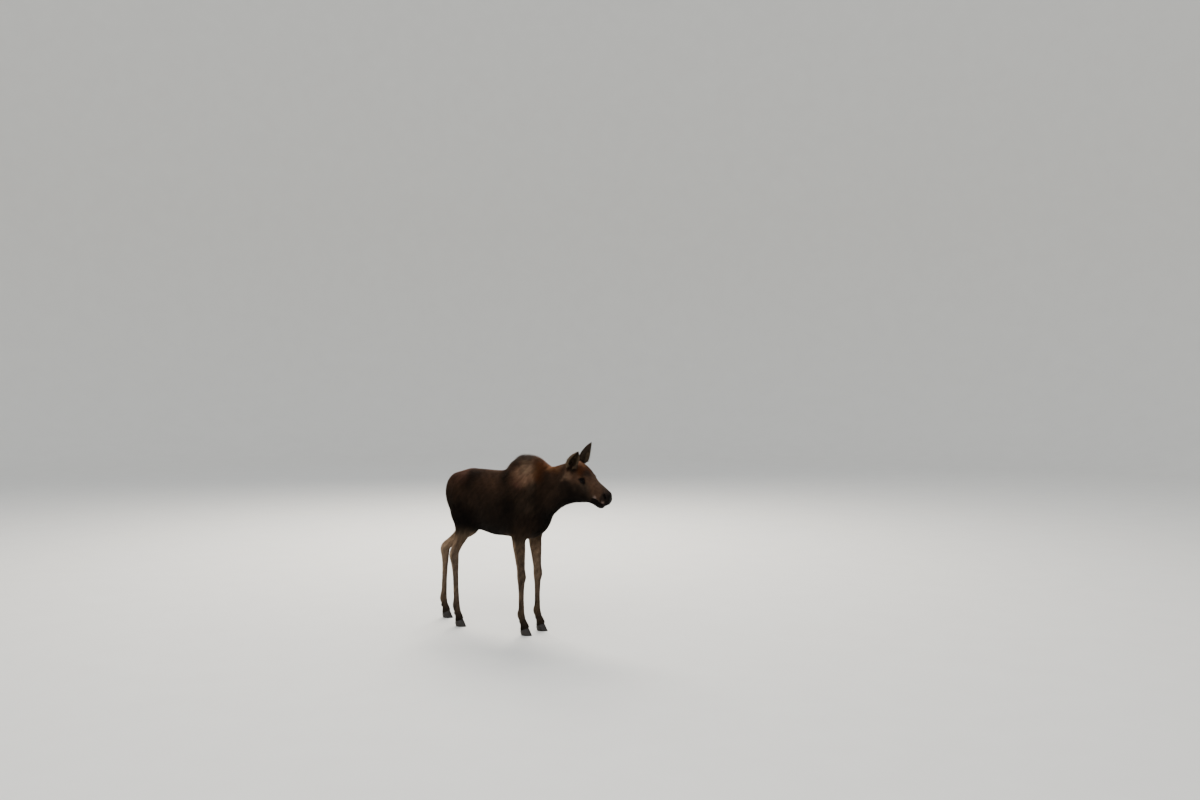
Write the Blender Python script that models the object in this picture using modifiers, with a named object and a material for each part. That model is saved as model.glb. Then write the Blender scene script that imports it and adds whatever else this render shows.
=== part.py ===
"""A moose calf of about five months, life size, standing still as a museum model.

The calf faces +X, its left side is +Y and +Z is up. The body is modelled whole, from lofted
tubes and muscle forms that are fused and smoothed, and is then parted by thin cuts into the
pieces that a person would name. The surface is the outline of the coat, out to its tips.
Lengths are in metres and angles in degrees.
"""

import math

import bmesh
import bpy
import numpy as np
from mathutils import Matrix, Vector

GAP = 0.0004
RING_SIDES = 28
ROW_STEPS = 4
FUSE_VOXEL = 0.007
BODY_TRIANGLES = 1300
LEG_TRIANGLES = 1200
HEAD_TRIANGLES = 2100
FLESH_TRIANGLES = 4700

# The trunk: station along X, back line, belly line, half width, and how far the width leans
# to the top (+) or to the bottom (-) of the section.
TRUNK = (
    (-0.512, 1.112, 1.000, 0.050, 0.00),
    (-0.492, 1.150, 0.940, 0.090, 0.00),
    (-0.440, 1.194, 0.870, 0.124, 0.02),
    (-0.370, 1.230, 0.812, 0.142, 0.02),
    (-0.300, 1.243, 0.776, 0.148, 0.00),
    (-0.200, 1.238, 0.748, 0.150, -0.04),
    (-0.080, 1.236, 0.722, 0.163, -0.10),
    (0.000, 1.242, 0.724, 0.170, -0.14),
    (0.060, 1.287, 0.720, 0.170, -0.22),
    (0.130, 1.343, 0.716, 0.163, -0.30),
    (0.223, 1.365, 0.714, 0.148, -0.32),
    (0.300, 1.350, 0.742, 0.132, -0.28),
    (0.360, 1.306, 0.792, 0.110, -0.20),
    (0.405, 1.240, 0.860, 0.078, -0.10),
)

# The neck: station along X, crest, throat, half width, lean.
NECK = (
    (0.215, 1.290, 0.800, 0.100, -0.10),
    (0.300, 1.310, 0.800, 0.118, -0.12),
    (0.360, 1.300, 0.836, 0.120, -0.12),
    (0.420, 1.284, 0.902, 0.113, -0.10),
    (0.490, 1.302, 0.958, 0.102, -0.08),
    (0.550, 1.320, 0.990, 0.095, -0.06),
    (0.605, 1.322, 1.008, 0.088, -0.04),
    (0.660, 1.300, 1.018, 0.074, -0.10),
    (0.720, 1.210, 1.022, 0.056, -0.05),
    (0.770, 1.120, 1.034, 0.038, 0.00),
)

# The head's own frame stands between the eyes, with its first axis down the face.
EYES_AT = Vector((0.733, 0.0, 1.193))
FACE_SLOPE = 33.0

# Skull and nose: station along the face, top, bottom, half width, lean.
SKULL = (
    (-0.185, 0.040, -0.070, 0.045, 0.00),
    (-0.160, 0.068, -0.095, 0.066, 0.02),
    (-0.115, 0.082, -0.112, 0.078, 0.05),
    (-0.065, 0.082, -0.112, 0.083, 0.06),
    (-0.020, 0.074, -0.106, 0.083, 0.04),
    (0.030, 0.058, -0.096, 0.071, 0.00),
    (0.080, 0.046, -0.086, 0.057, -0.05),
    (0.125, 0.044, -0.076, 0.050, -0.06),
    (0.165, 0.042, -0.068, 0.049, -0.04),
    (0.200, 0.034, -0.062, 0.047, -0.02),
    (0.228, 0.018, -0.056, 0.042, 0.00),
    (0.246, -0.006, -0.045, 0.028, 0.00),
)

# Lower jaw: station along the face, top, bottom, half width, lean.
JAW = (
    (-0.120, -0.050, -0.160, 0.058, 0.00),
    (-0.060, -0.060, -0.178, 0.064, 0.05),
    (0.000, -0.066, -0.178, 0.060, 0.12),
    (0.050, -0.068, -0.160, 0.052, 0.15),
    (0.100, -0.066, -0.136, 0.043, 0.10),
    (0.140, -0.064, -0.122, 0.037, 0.05),
    (0.180, -0.062, -0.118, 0.036, 0.00),
    (0.208, -0.062, -0.112, 0.031, 0.00),
    (0.226, -0.066, -0.096, 0.018, 0.00),
)

# Muscle and bone forms of the head: centre, radii and tilt, in the head's frame, on each side.
HEAD_FORMS = {
    "cheek": ((-0.040, 0.034, -0.078), (0.094, 0.042, 0.078), 20.0),
    "cheek_bone": ((0.010, 0.046, -0.030), (0.090, 0.030, 0.030), 10.0),
    "cheek_front": ((0.062, 0.026, -0.070), (0.078, 0.031, 0.040), 12.0),
    "brow": ((-0.014, 0.053, 0.024), (0.050, 0.034, 0.028), 10.0),
    "nostril_wing": ((0.190, 0.026, -0.004), (0.042, 0.026, 0.034), 25.0),
    "upper_lip": ((0.200, 0.022, -0.044), (0.044, 0.026, 0.026), 8.0),
    "ear_root": ((-0.142, 0.050, 0.016), (0.034, 0.030, 0.044), 0.0),
}

# Muscle forms of the body: centre, radii and tilt, on each side.
BODY_FORMS = {
    "shoulder_blade": ((0.205, 0.075, 1.070), (0.110, 0.066, 0.200), 14.0),
    "upper_arm": ((0.235, 0.094, 0.890), (0.120, 0.060, 0.100), -28.0),
    "rib_cage": ((-0.010, 0.074, 0.930), (0.260, 0.098, 0.180), 4.0),
    "haunch": ((-0.382, 0.072, 1.030), (0.145, 0.084, 0.190), -8.0),
    "hip_bone": ((-0.300, 0.070, 1.170), (0.080, 0.050, 0.052), 0.0),
    "flank_fold": ((-0.225, 0.098, 0.840), (0.120, 0.036, 0.085), -34.0),
}

# Legs, as a run of girths: place along the joints, depth fore and aft, width, set forward.
FORE_GIRTHS = (
    (0.00, 0.205, 0.110, 0.000),
    (0.55, 0.170, 0.112, 0.000),
    (1.00, 0.128, 0.098, 0.002),
    (1.35, 0.096, 0.080, 0.002),
    (1.75, 0.070, 0.062, 0.002),
    (1.92, 0.072, 0.066, 0.003),
    (2.04, 0.074, 0.068, 0.003),
    (2.20, 0.056, 0.052, 0.000),
    (2.50, 0.047, 0.043, 0.000),
    (2.84, 0.050, 0.047, 0.000),
    (3.00, 0.064, 0.058, -0.003),
    (3.50, 0.053, 0.054, -0.002),
    (4.00, 0.066, 0.070, 0.000),
    (4.40, 0.062, 0.070, 0.000),
)
HIND_GIRTHS = (
    (0.00, 0.250, 0.120, 0.000),
    (0.50, 0.262, 0.128, -0.006),
    (1.00, 0.196, 0.116, -0.012),
    (1.35, 0.130, 0.088, -0.008),
    (1.70, 0.086, 0.062, -0.006),
    (1.92, 0.088, 0.058, -0.010),
    (2.04, 0.090, 0.062, -0.008),
    (2.18, 0.070, 0.056, -0.002),
    (2.36, 0.054, 0.047, 0.000),
    (2.60, 0.050, 0.043, 0.000),
    (2.86, 0.053, 0.047, 0.000),
    (3.00, 0.066, 0.058, -0.003),
    (3.50, 0.054, 0.053, -0.002),
    (4.00, 0.064, 0.069, 0.000),
    (4.40, 0.060, 0.069, 0.000),
)

# Each leg's joints from top to coronet as (X, Z), its side and how far it stands out there.
LEGS = {
    "fore_right": (
        ((0.215, 0.900), (0.188, 0.730), (0.208, 0.440), (0.205, 0.150), (0.236, 0.066)),
        -1,
        (0.108, 0.108, 0.100, 0.096, 0.096),
    ),
    "fore_left": (
        ((0.215, 0.900), (0.192, 0.730), (0.224, 0.440), (0.222, 0.150), (0.253, 0.066)),
        1,
        (0.108, 0.108, 0.100, 0.096, 0.096),
    ),
    "hind_right": (
        ((-0.350, 0.980), (-0.315, 0.790), (-0.420, 0.565), (-0.403, 0.152), (-0.376, 0.066)),
        -1,
        (0.080, 0.098, 0.100, 0.102, 0.102),
    ),
    "hind_left": (
        ((-0.360, 0.980), (-0.400, 0.775), (-0.660, 0.572), (-0.686, 0.152), (-0.660, 0.066)),
        1,
        (0.080, 0.094, 0.096, 0.098, 0.098),
    ),
}

# Hooves: two claws on each foot, with two dewclaws behind the pastern.
HEEL_BACK = 0.031
TOE_FORWARD = 0.066
TOE_FORWARD_AT_TOP = 0.031
CLAW_WIDTH = 0.0335
CLAW_CLEFT = 0.0035
CORONET_SLOPE = 14.0
DEWCLAW_RADII = (0.0085, 0.0100, 0.0180)
DEWCLAW_PLACE = (-0.030, 0.021, 0.026)
DEWCLAW_TILT = -24.0

EYE_RADIUS = 0.020
EYE_PLACE = (0.0, 0.0665, 0.002)

# The ears' thickness, and their form: place along the ear, radius of the cup, half its opening.
EAR_THICKNESS = 0.0055
EAR_CUP = (
    (0.00, 0.024, 172.0),
    (0.15, 0.026, 168.0),
    (0.27, 0.033, 147.0),
    (0.38, 0.041, 114.0),
    (0.50, 0.044, 89.0),
    (0.64, 0.042, 71.0),
    (0.79, 0.034, 57.0),
    (0.92, 0.020, 48.0),
    (1.00, 0.006, 40.0),
)
# Each ear's root and tip in the head's frame, and the heading its cup opens to, from ahead.
EARS = {
    "ear_right": ((-0.162, -0.045, -0.014), (-0.127, -0.114, 0.180), -50.0),
    "ear_left": ((-0.156, 0.042, -0.006), (-0.166, 0.090, 0.220), 80.0),
}

# The tail: X, Z and radius down its length.
TAIL = (
    (-0.470, 1.112, 0.030),
    (-0.499, 1.094, 0.030),
    (-0.518, 1.062, 0.028),
    (-0.526, 1.026, 0.024),
    (-0.525, 0.994, 0.015),
    (-0.522, 0.980, 0.006),
)

# The cuts: a point on each and the slope of its face, then the leg cuts' heights.
HEAD_CUT = (0.602, 1.180, 10.0)
NECK_CUT = (0.405, 1.090, 6.0)
MOUTH_CUT = (0.060, -0.0655)
LEG_CUTS = {"fore": (0.706, 0.438), "hind": (0.735, 0.556)}
LEG_REACH = {"fore": (0.0, 0.45), "hind": (-0.85, -0.22)}

COLOURS = {
    "coat_dark": ((0.030, 0.021, 0.016), 0.85),
    "coat_face": ((0.105, 0.070, 0.050), 0.80),
    "coat_leg": ((0.200, 0.160, 0.120), 0.85),
    "horn": ((0.022, 0.018, 0.016), 0.45),
    "eye": ((0.010, 0.006, 0.004), 0.08),
}


def clear_scene():
    for thing in list(bpy.data.objects):
        bpy.data.objects.remove(thing)


def collection_named(name):
    made = bpy.data.collections.new(name)
    bpy.context.scene.collection.children.link(made)
    return made


def finish_named(name):
    colour, roughness = COLOURS[name]
    made = bpy.data.materials.new(name)
    made.use_nodes = True
    shader = made.node_tree.nodes["Principled BSDF"]
    shader.inputs["Base Color"].default_value = (*colour, 1.0)
    shader.inputs["Roughness"].default_value = roughness
    shader.inputs["Metallic"].default_value = 0.0
    return made


def flowing(rows, steps=ROW_STEPS):
    """The rows of a table with smooth rows between them, as a Catmull-Rom spline."""
    rows = np.array(rows, float)
    before = np.vstack([2 * rows[0] - rows[1], rows[:-2]])
    after = np.vstack([rows[2:], 2 * rows[-1] - rows[-2]])
    made = []
    for step in range(steps):
        t = step / steps
        made.append(
            0.5
            * (
                2 * rows[:-1]
                + (rows[1:] - before) * t
                + (2 * before - 5 * rows[:-1] + 4 * rows[1:] - after) * t**2
                + (3 * rows[:-1] - before - 3 * rows[1:] + after) * t**3
            )
        )
    between = np.stack(made, axis=1).reshape(-1, rows.shape[1])
    return np.vstack([between, rows[-1:]])


def oval(centre, across, upward, half_width, half_height, lean=0.0, square=0.85):
    """A ring of points. A lean above 0 moves the width to the top of the section."""
    ring = []
    for side in range(RING_SIDES):
        turn = 2 * math.pi * side / RING_SIDES
        c, s = math.cos(turn), math.sin(turn)
        out = half_width * math.copysign(abs(c) ** square, c) * (1 + lean * s)
        ring.append(centre + across * out + upward * half_height * s)
    return ring


def add_loft(form, rings):
    """Adds a closed tube through the rings to a bmesh."""
    rows = [[form.verts.new(point) for point in ring] for ring in rings]
    count = len(rows[0])
    faces = []
    for low, high in zip(rows, rows[1:]):
        for i in range(count):
            j = (i + 1) % count
            faces.append(form.faces.new((low[i], low[j], high[j], high[i])))
    faces.append(form.faces.new(list(reversed(rows[0]))))
    faces.append(form.faces.new(rows[-1]))
    bmesh.ops.recalc_face_normals(form, faces=faces)


def add_ball(form, centre, radii, tilt, segments=(24, 14)):
    """An ellipsoid, tilted nose down by some degrees."""
    turn = Matrix.Rotation(math.radians(tilt), 4, "Y")
    place = Matrix.Translation(centre) @ turn @ Matrix.Diagonal((*radii, 1.0))
    bmesh.ops.create_uvsphere(
        form, u_segments=segments[0], v_segments=segments[1], radius=1.0, matrix=place
    )


def sagittal_rings(rows):
    """Upright rings along X from rows of station, top, bottom, half width and lean."""
    rings = []
    for x, top, bottom, half_width, lean in flowing(rows):
        centre = Vector((x, 0, (top + bottom) / 2))
        half_height = (top - bottom) / 2
        rings.append(oval(centre, Vector((0, 1, 0)), Vector((0, 0, 1)), half_width, half_height, lean))
    return rings


def head_frame():
    return Matrix.Translation(EYES_AT) @ Matrix.Rotation(math.radians(FACE_SLOPE), 4, "Y")


def add_head(form):
    frame = head_frame()
    for rows in (SKULL, JAW):
        add_loft(form, [[frame @ point for point in ring] for ring in sagittal_rings(rows)])
    for centre, radii, tilt in HEAD_FORMS.values():
        for side in (-1, 1):
            spot = frame @ Vector((centre[0], side * centre[1], centre[2]))
            add_ball(form, spot, radii, FACE_SLOPE + tilt)


def add_body(form):
    add_loft(form, sagittal_rings(TRUNK))
    add_loft(form, sagittal_rings(NECK))
    for centre, radii, tilt in BODY_FORMS.values():
        for side in (-1, 1):
            add_ball(form, (centre[0], side * centre[1], centre[2]), radii, tilt)


def leg_line(name):
    """The leg's joints as points, from the top down to the coronet."""
    joints, side, outs = LEGS[name]
    return [Vector((x, side * out, z)) for (x, z), out in zip(joints, outs)]


def add_leg(form, name):
    line = leg_line(name)
    line.append(line[-1] + (line[-1] - line[-2]) * 0.8)
    girths = FORE_GIRTHS if name.startswith("fore") else HIND_GIRTHS
    rows = []
    for place, depth, width, forward in girths:
        bone = min(int(place), len(line) - 2)
        spot = line[bone].lerp(line[bone + 1], place - bone)
        rows.append((spot.x + forward, spot.y, spot.z, depth / 2, width / 2))
    smooth = flowing(rows)
    rings = []
    for i, row in enumerate(smooth):
        ahead, behind = smooth[min(i + 1, len(smooth) - 1)], smooth[max(i - 1, 0)]
        along = Vector(ahead[:3] - behind[:3]).normalized()
        fore = Vector((0, 1, 0)).cross(along).normalized()
        rings.append(oval(Vector(row[:3]), fore, along.cross(fore), row[3], row[4]))
    add_loft(form, rings)


def object_of(name, form, collection):
    mesh = bpy.data.meshes.new(name)
    form.to_mesh(mesh)
    form.free()
    made = bpy.data.objects.new(name, mesh)
    collection.objects.link(made)
    return made


def ball_object(name, centre, radii, tilt, segments, collection):
    form = bmesh.new()
    add_ball(form, centre, radii, tilt, segments)
    return object_of(name, form, collection)


def settled(piece, name, collection):
    """A new object that holds the piece as its modifiers leave it. The piece is removed."""
    bpy.context.view_layer.update()
    graph = bpy.context.evaluated_depsgraph_get()
    mesh = bpy.data.meshes.new_from_object(piece.evaluated_get(graph))
    mesh.transform(piece.matrix_world)
    bpy.data.objects.remove(piece)
    made = bpy.data.objects.new(name, mesh)
    collection.objects.link(made)
    return made


def region_of(point):
    """The region that sets how much a place is smoothed and how finely it is faceted."""
    if point.x > EYES_AT.x - 0.17 and point.z > 0.9:
        return "head"
    return "legs" if point.z < 0.68 else "body"


REGIONS = {"body": (60, BODY_TRIANGLES), "legs": (7, LEG_TRIANGLES), "head": (9, HEAD_TRIANGLES)}


def fused(collection):
    """The whole body in one closed skin, smoothed where its forms meet."""
    form = bmesh.new()
    add_body(form)
    add_head(form)
    for name in LEGS:
        add_leg(form, name)
    whole = object_of("whole_body", form, collection)
    remesh = whole.modifiers.new("Fuse", "REMESH")
    remesh.mode = "VOXEL"
    remesh.voxel_size = FUSE_VOXEL
    whole = settled(whole, "whole_body", collection)
    for region, (rounds, _) in REGIONS.items():
        members = [v.index for v in whole.data.vertices if region_of(v.co) == region]
        whole.vertex_groups.new(name=region).add(members, 1.0, "REPLACE")
        smooth = whole.modifiers.new("Smooth " + region, "SMOOTH")
        smooth.vertex_group = region
        smooth.factor = 0.5
        smooth.iterations = rounds
    whole = settled(whole, "whole_body", collection)
    for region, (_, triangles) in REGIONS.items():
        whole = thinned(whole, region, triangles, collection)
    last = whole.modifiers.new("Thin the seams", "DECIMATE")
    last.ratio = FLESH_TRIANGLES / sum(len(f.vertices) - 2 for f in whole.data.polygons)
    last.use_collapse_triangulate = True
    return settled(whole, "whole_body", collection)


def thinned(whole, region, triangles, collection):
    """The whole with one region's faces brought down to about that many triangles."""
    faces = whole.data.polygons
    points = whole.data.vertices
    members = [v.index for v in points if region_of(v.co) == region]
    whole.vertex_groups.new(name=region).add(members, 1.0, "REPLACE")
    inside = set(members)
    total = sum(len(f.vertices) - 2 for f in faces)
    held = sum(len(f.vertices) - 2 for f in faces if inside.issuperset(f.vertices))
    decimate = whole.modifiers.new("Thin " + region, "DECIMATE")
    decimate.vertex_group = region
    decimate.vertex_group_factor = 1.0
    decimate.ratio = (total - held + triangles) / total
    return settled(whole, "whole_body", collection)


def block(name, low, high, frame, cutters, grown=0.0):
    """A box from one corner to the other in its own frame, as a cutter."""
    form = bmesh.new()
    size = Vector(high) - Vector(low) + Vector((2 * grown,) * 3)
    middle = (Vector(high) + Vector(low)) / 2
    place = frame @ Matrix.Translation(middle) @ Matrix.Diagonal((*size, 1.0))
    bmesh.ops.create_cube(form, size=1.0, matrix=place)
    return as_cutter(object_of(name, form, cutters))


def as_cutter(made):
    made.hide_render = True
    made.display_type = "WIRE"
    return made


def swollen(piece, cutters):
    """A cutter a gap larger than the piece."""
    made = bpy.data.objects.new("around_" + piece.name, piece.data.copy())
    cutters.objects.link(made)
    swell = made.modifiers.new("Swell", "DISPLACE")
    swell.strength = GAP
    swell.mid_level = 0.0
    return as_cutter(settled(made, "around_" + piece.name, cutters))


def cut(piece, cutter, operation, name, collection):
    """The result of one Boolean between the piece and the cutter. The piece is kept."""
    copy = bpy.data.objects.new(name, piece.data)
    collection.objects.link(copy)
    boolean = copy.modifiers.new("Cut", "BOOLEAN")
    boolean.operation = operation
    boolean.solver = "EXACT"
    boolean.object = cutter
    return settled(copy, name, collection)


def replaced(piece, cutter, operation, name, collection):
    """The result of one Boolean in place of the piece."""
    made = cut(piece, cutter, operation, "next", collection)
    bpy.data.objects.remove(piece)
    made.name = name
    made.data.name = name
    return made


def upright(x, z, slope):
    """A frame on the mid-plane at one place, its first axis turned down by the slope."""
    return Matrix.Translation((x, 0, z)) @ Matrix.Rotation(math.radians(slope), 4, "Y")


def parted(whole, name, low, high, frame, parts, cutters):
    """Cuts the piece in the box free of the whole. Returns the rest and the piece."""
    inner = block(name + "_box", low, high, frame, cutters)
    outer = block(name + "_kerf", low, high, frame, cutters, GAP)
    piece = cut(whole, inner, "INTERSECT", name, parts)
    rest = replaced(whole, outer, "DIFFERENCE", "rest", parts)
    return rest, piece


def foot_frame(name):
    """A leg's coronet: the frame of the plane where the hoof begins."""
    turn = Matrix.Rotation(math.radians(CORONET_SLOPE), 4, "Y")
    return Matrix.Translation(leg_line(name)[-1]) @ turn


def claw_outline(toe, side, width):
    """Points round one claw from its heel, out along its wall to the toe, and back inside."""
    points = []
    for step in range(7):
        s = step / 6
        out = width * math.sin(math.pi * min(1.0, 0.10 + 0.90 * s)) ** 0.55 * (1 - 0.22 * s**3)
        points.append((-HEEL_BACK + s * (HEEL_BACK + toe), side * (CLAW_CLEFT / 2 + max(out, 0.004))))
    for s in (0.88, 0.50, 0.12):
        points.append((-HEEL_BACK + s * (HEEL_BACK + toe), side * CLAW_CLEFT / 2))
    return points


def add_claw(form, name, side):
    """One claw: a flat sole on the floor, a sloping wall, and a top along the coronet."""
    foot = leg_line(name)[-1]
    slope = math.tan(math.radians(CORONET_SLOPE))
    rings = []
    for up in (0.0, 0.10, 0.55, 1.0):
        toe = TOE_FORWARD + (TOE_FORWARD_AT_TOP - TOE_FORWARD) * up
        width = CLAW_WIDTH * (1.0 + 0.06 * math.sin(math.pi * up)) - 0.0015 * (up == 0.0)
        ring = []
        for x, y in claw_outline(toe, side, width):
            top = foot.z - slope * x - 2 * GAP
            ring.append(Vector((foot.x + x, foot.y + y, top * up)))
        rings.append(ring)
    add_loft(form, rings)


def add_ear(form, name):
    """One ear as a leaf-shaped cup, rolled to a tube at its root."""
    root, tip, heading = EARS[name]
    frame = head_frame()
    root, tip = frame @ Vector(root), frame @ Vector(tip)
    along = (tip - root).normalized()
    ahead = Vector((math.cos(math.radians(heading)), math.sin(math.radians(heading)), 0.0))
    opening = (ahead - along * ahead.dot(along)).normalized()
    across = along.cross(opening)
    rings = []
    for place, radius, half_angle in EAR_CUP:
        back = root.lerp(tip, place) - opening * 0.014 * math.sin(math.pi * place)
        middle = back + opening * radius
        ring = []
        for wall, order in ((radius, 1), (max(radius - EAR_THICKNESS, radius * 0.5), -1)):
            for step in range(7):
                turn = math.radians(half_angle) * (step / 3 - 1) * order
                ring.append(middle + (across * math.sin(turn) - opening * math.cos(turn)) * wall)
        rings.append(ring)
    add_loft(form, rings)


def add_tail(form):
    rows = flowing(TAIL, 2)
    rings = []
    for i, (x, z, radius) in enumerate(rows):
        ahead, behind = rows[min(i + 1, len(rows) - 1)], rows[max(i - 1, 0)]
        along = Vector((ahead[0] - behind[0], 0, ahead[1] - behind[1])).normalized()
        across = Vector((0, 1, 0))
        rings.append(oval(Vector((x, 0, z)), across, along.cross(across), radius, radius * 0.8)[::2])
    add_loft(form, rings)


def feet_cut(whole, parts, cutters):
    """The whole with each leg ended at its coronet."""
    low, high = (-0.12, -0.07, -0.12), (0.12, 0.07, 0.0)
    for name in LEGS:
        under = block("under_" + name, low, high, foot_frame(name), cutters)
        whole = replaced(whole, under, "DIFFERENCE", "rest", parts)
    return whole


def legs_parted(rest, parts, cutters):
    """Parts each leg below the trunk, in an upper and a lower piece. Returns the rest and them."""
    frame = Matrix.Identity(4)
    pieces = []
    for name, (_, side, _) in LEGS.items():
        end, side_word = name.split("_")
        behind, ahead = LEG_REACH[end]
        inner, outer = sorted((side * 0.004, side * 0.25))
        low = (behind, inner, -0.1)
        title = f"{end}leg_{side_word}_"
        top, middle = LEG_CUTS[end]
        rest, leg = parted(rest, title + "whole", low, (ahead, outer, top), frame, parts, cutters)
        leg, foot = parted(leg, title + "lower", low, (ahead, outer, middle), frame, parts, cutters)
        leg.name = title + "upper"
        pieces += [leg, foot]
    return rest, pieces


def set_eyes(head, parts, cutters):
    """Both eyeballs, with a socket cut for each. Returns the head and the eyes."""
    eyes = []
    for side, word in ((-1, "right"), (1, "left")):
        spot = head_frame() @ Vector((EYE_PLACE[0], side * EYE_PLACE[1], EYE_PLACE[2]))
        eyes.append(ball_object("eye_" + word, spot, (EYE_RADIUS,) * 3, 0.0, (14, 9), parts))
        hollow = (EYE_RADIUS + GAP,) * 3
        socket = as_cutter(ball_object("socket_" + word, spot, hollow, 0.0, (14, 9), cutters))
        head = replaced(head, socket, "DIFFERENCE", "head", parts)
    return head, eyes


def grown_piece(name, add, flesh, parts):
    """A small piece that grows from the flesh, ended where it meets the flesh's surface."""
    form = bmesh.new()
    add(form)
    return replaced(object_of(name, form, parts), flesh, "DIFFERENCE", name, parts)


def hooves(flesh, parts):
    """The two claws and two dewclaws of every foot."""
    pieces = []
    for name in LEGS:
        for side, word in ((-1, "right"), (1, "left")):
            form = bmesh.new()
            add_claw(form, name, side)
            pieces.append(object_of(f"claw_{name}_{word}", form, parts))
            spot = foot_frame(name) @ Vector((DEWCLAW_PLACE[0], side * DEWCLAW_PLACE[1], DEWCLAW_PLACE[2]))
            title = f"dewclaw_{name}_{word}"
            dewclaw = ball_object(title, spot, DEWCLAW_RADII, DEWCLAW_TILT, (7, 5), parts)
            pieces.append(replaced(dewclaw, flesh, "DIFFERENCE", title, parts))
    return pieces


def finish_all(pieces, finish_name):
    """Gives each piece its material, and shades it smooth but for its cut edges."""
    finish = finish_named(finish_name)
    for piece in pieces:
        piece.data.shade_smooth()
        piece.data.set_sharp_from_angle(angle=math.radians(40))
        piece.data.materials.clear()
        piece.data.materials.append(finish)


def set_on_origin(pieces):
    """Moves every piece so that the middle of the whole's box stands over the origin."""
    points = np.array([v.co for piece in pieces for v in piece.data.vertices])
    low, high = points.min(axis=0), points.max(axis=0)
    shift = Vector((-(low[0] + high[0]) / 2, -(low[1] + high[1]) / 2, -low[2]))
    for piece in pieces:
        piece.data.transform(Matrix.Translation(shift))


def main():
    clear_scene()
    parts = collection_named("moose_calf")
    cutters = collection_named("cutters")
    whole = fused(parts)
    flesh = swollen(whole, cutters)
    rest = feet_cut(whole, parts, cutters)

    head_low, head_high = (0.0, -0.2, -0.4), (0.6, 0.2, 0.4)
    rest, head = parted(rest, "head", head_low, head_high, upright(*HEAD_CUT), parts, cutters)
    mouth = head_frame() @ Matrix.Translation((MOUTH_CUT[0], 0, MOUTH_CUT[1]))
    head, jaw = parted(head, "lower_jaw", (0.0, -0.1, -0.2), (0.25, 0.1, 0.0), mouth, parts, cutters)
    head, eyes = set_eyes(head, parts, cutters)
    neck_low, neck_high = (0.0, -0.3, -0.35), (0.5, 0.3, 0.4)
    rest, neck = parted(rest, "neck", neck_low, neck_high, upright(*NECK_CUT), parts, cutters)
    trunk, legs = legs_parted(rest, parts, cutters)
    trunk.name = "trunk"

    tail = grown_piece("tail", add_tail, flesh, parts)
    ears = [grown_piece(name, lambda form, ear=name: add_ear(form, ear), flesh, parts) for name in EARS]
    horn = hooves(flesh, parts)

    finish_all([trunk, neck, tail], "coat_dark")
    finish_all([head, jaw, *ears], "coat_face")
    finish_all(legs, "coat_leg")
    finish_all(horn, "horn")
    finish_all(eyes, "eye")
    set_on_origin([trunk, neck, tail, head, jaw, *ears, *legs, *horn, *eyes])


if __name__ == "__main__":
    main()
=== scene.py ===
import math

import bmesh
import bpy
import numpy as np
from mathutils import Matrix, Vector


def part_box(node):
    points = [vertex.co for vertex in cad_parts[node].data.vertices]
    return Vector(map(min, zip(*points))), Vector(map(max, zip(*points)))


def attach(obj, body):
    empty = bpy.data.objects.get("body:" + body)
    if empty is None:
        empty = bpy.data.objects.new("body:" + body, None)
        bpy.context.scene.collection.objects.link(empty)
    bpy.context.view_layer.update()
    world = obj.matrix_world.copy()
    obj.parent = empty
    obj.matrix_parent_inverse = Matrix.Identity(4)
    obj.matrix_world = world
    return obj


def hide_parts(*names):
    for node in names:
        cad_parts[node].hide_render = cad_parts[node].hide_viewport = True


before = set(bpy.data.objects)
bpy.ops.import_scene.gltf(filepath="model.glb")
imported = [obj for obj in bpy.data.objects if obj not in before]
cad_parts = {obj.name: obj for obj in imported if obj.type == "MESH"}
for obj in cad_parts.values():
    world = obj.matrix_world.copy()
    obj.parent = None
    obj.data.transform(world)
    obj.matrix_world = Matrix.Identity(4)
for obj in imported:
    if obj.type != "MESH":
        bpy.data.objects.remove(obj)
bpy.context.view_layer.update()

# The visitor's view. A standing person looks from nine metres ahead of the calf's right shoulder,
# through a moderate wide-angle lens, so the calf stands small and left of the middle.
EYE_LEVEL = 2.07
bpy.ops.object.camera_add(location=(5.0556, -7.3724, EYE_LEVEL),
                          rotation=(math.radians(88.1), 0.0, math.radians(30.38)))
visitor = bpy.context.object
visitor.name = "visitor_view"
visitor.data.lens = 35.0
visitor.data.clip_end = 200.0
visitor.data.dof.use_dof = False
bpy.context.scene.camera = visitor


# The hide. A moose calf's skin is one sheet over trunk, neck, head, ears, tail and legs, so it is
# made as one closed mesh: the flesh is cast whole, smoothed over the muscles, then brought in
# from the outline by the depth of the coat, which is deep on the hump and thin on the face.
LEG_NAMES = [f"{end}leg_{side}" for end in ("fore", "hind") for side in ("right", "left")]
BODY_FLESH = ["trunk", "neck", "head", "lower_jaw", "tail"]
BODY_FLESH += [f"{leg}_{part}" for leg in LEG_NAMES for part in ("upper", "lower")]
EAR_NAMES = ["ear_right", "ear_left"]
EYE_NAMES = ["eye_right", "eye_left"]
FACE_SLOPE = 33.0
BODY_VOXEL, HIDE_VOXEL, FILLED_SEAM = 0.005, 0.0029, 0.0008
BODY_ROUNDS, LEG_ROUNDS, HEAD_ROUNDS, TAIL_ROUNDS = 120, 9, 5, 6
RADIUS_OF_EYE = 0.0196


def applied(piece, kind, **settings):
    """Adds a modifier with its settings and applies it."""
    bpy.context.view_layer.objects.active = piece
    modifier = piece.modifiers.new(kind.title(), kind)
    for key, value in settings.items():
        setattr(modifier, key, value)
    bpy.ops.object.modifier_apply(modifier=modifier.name)


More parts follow.
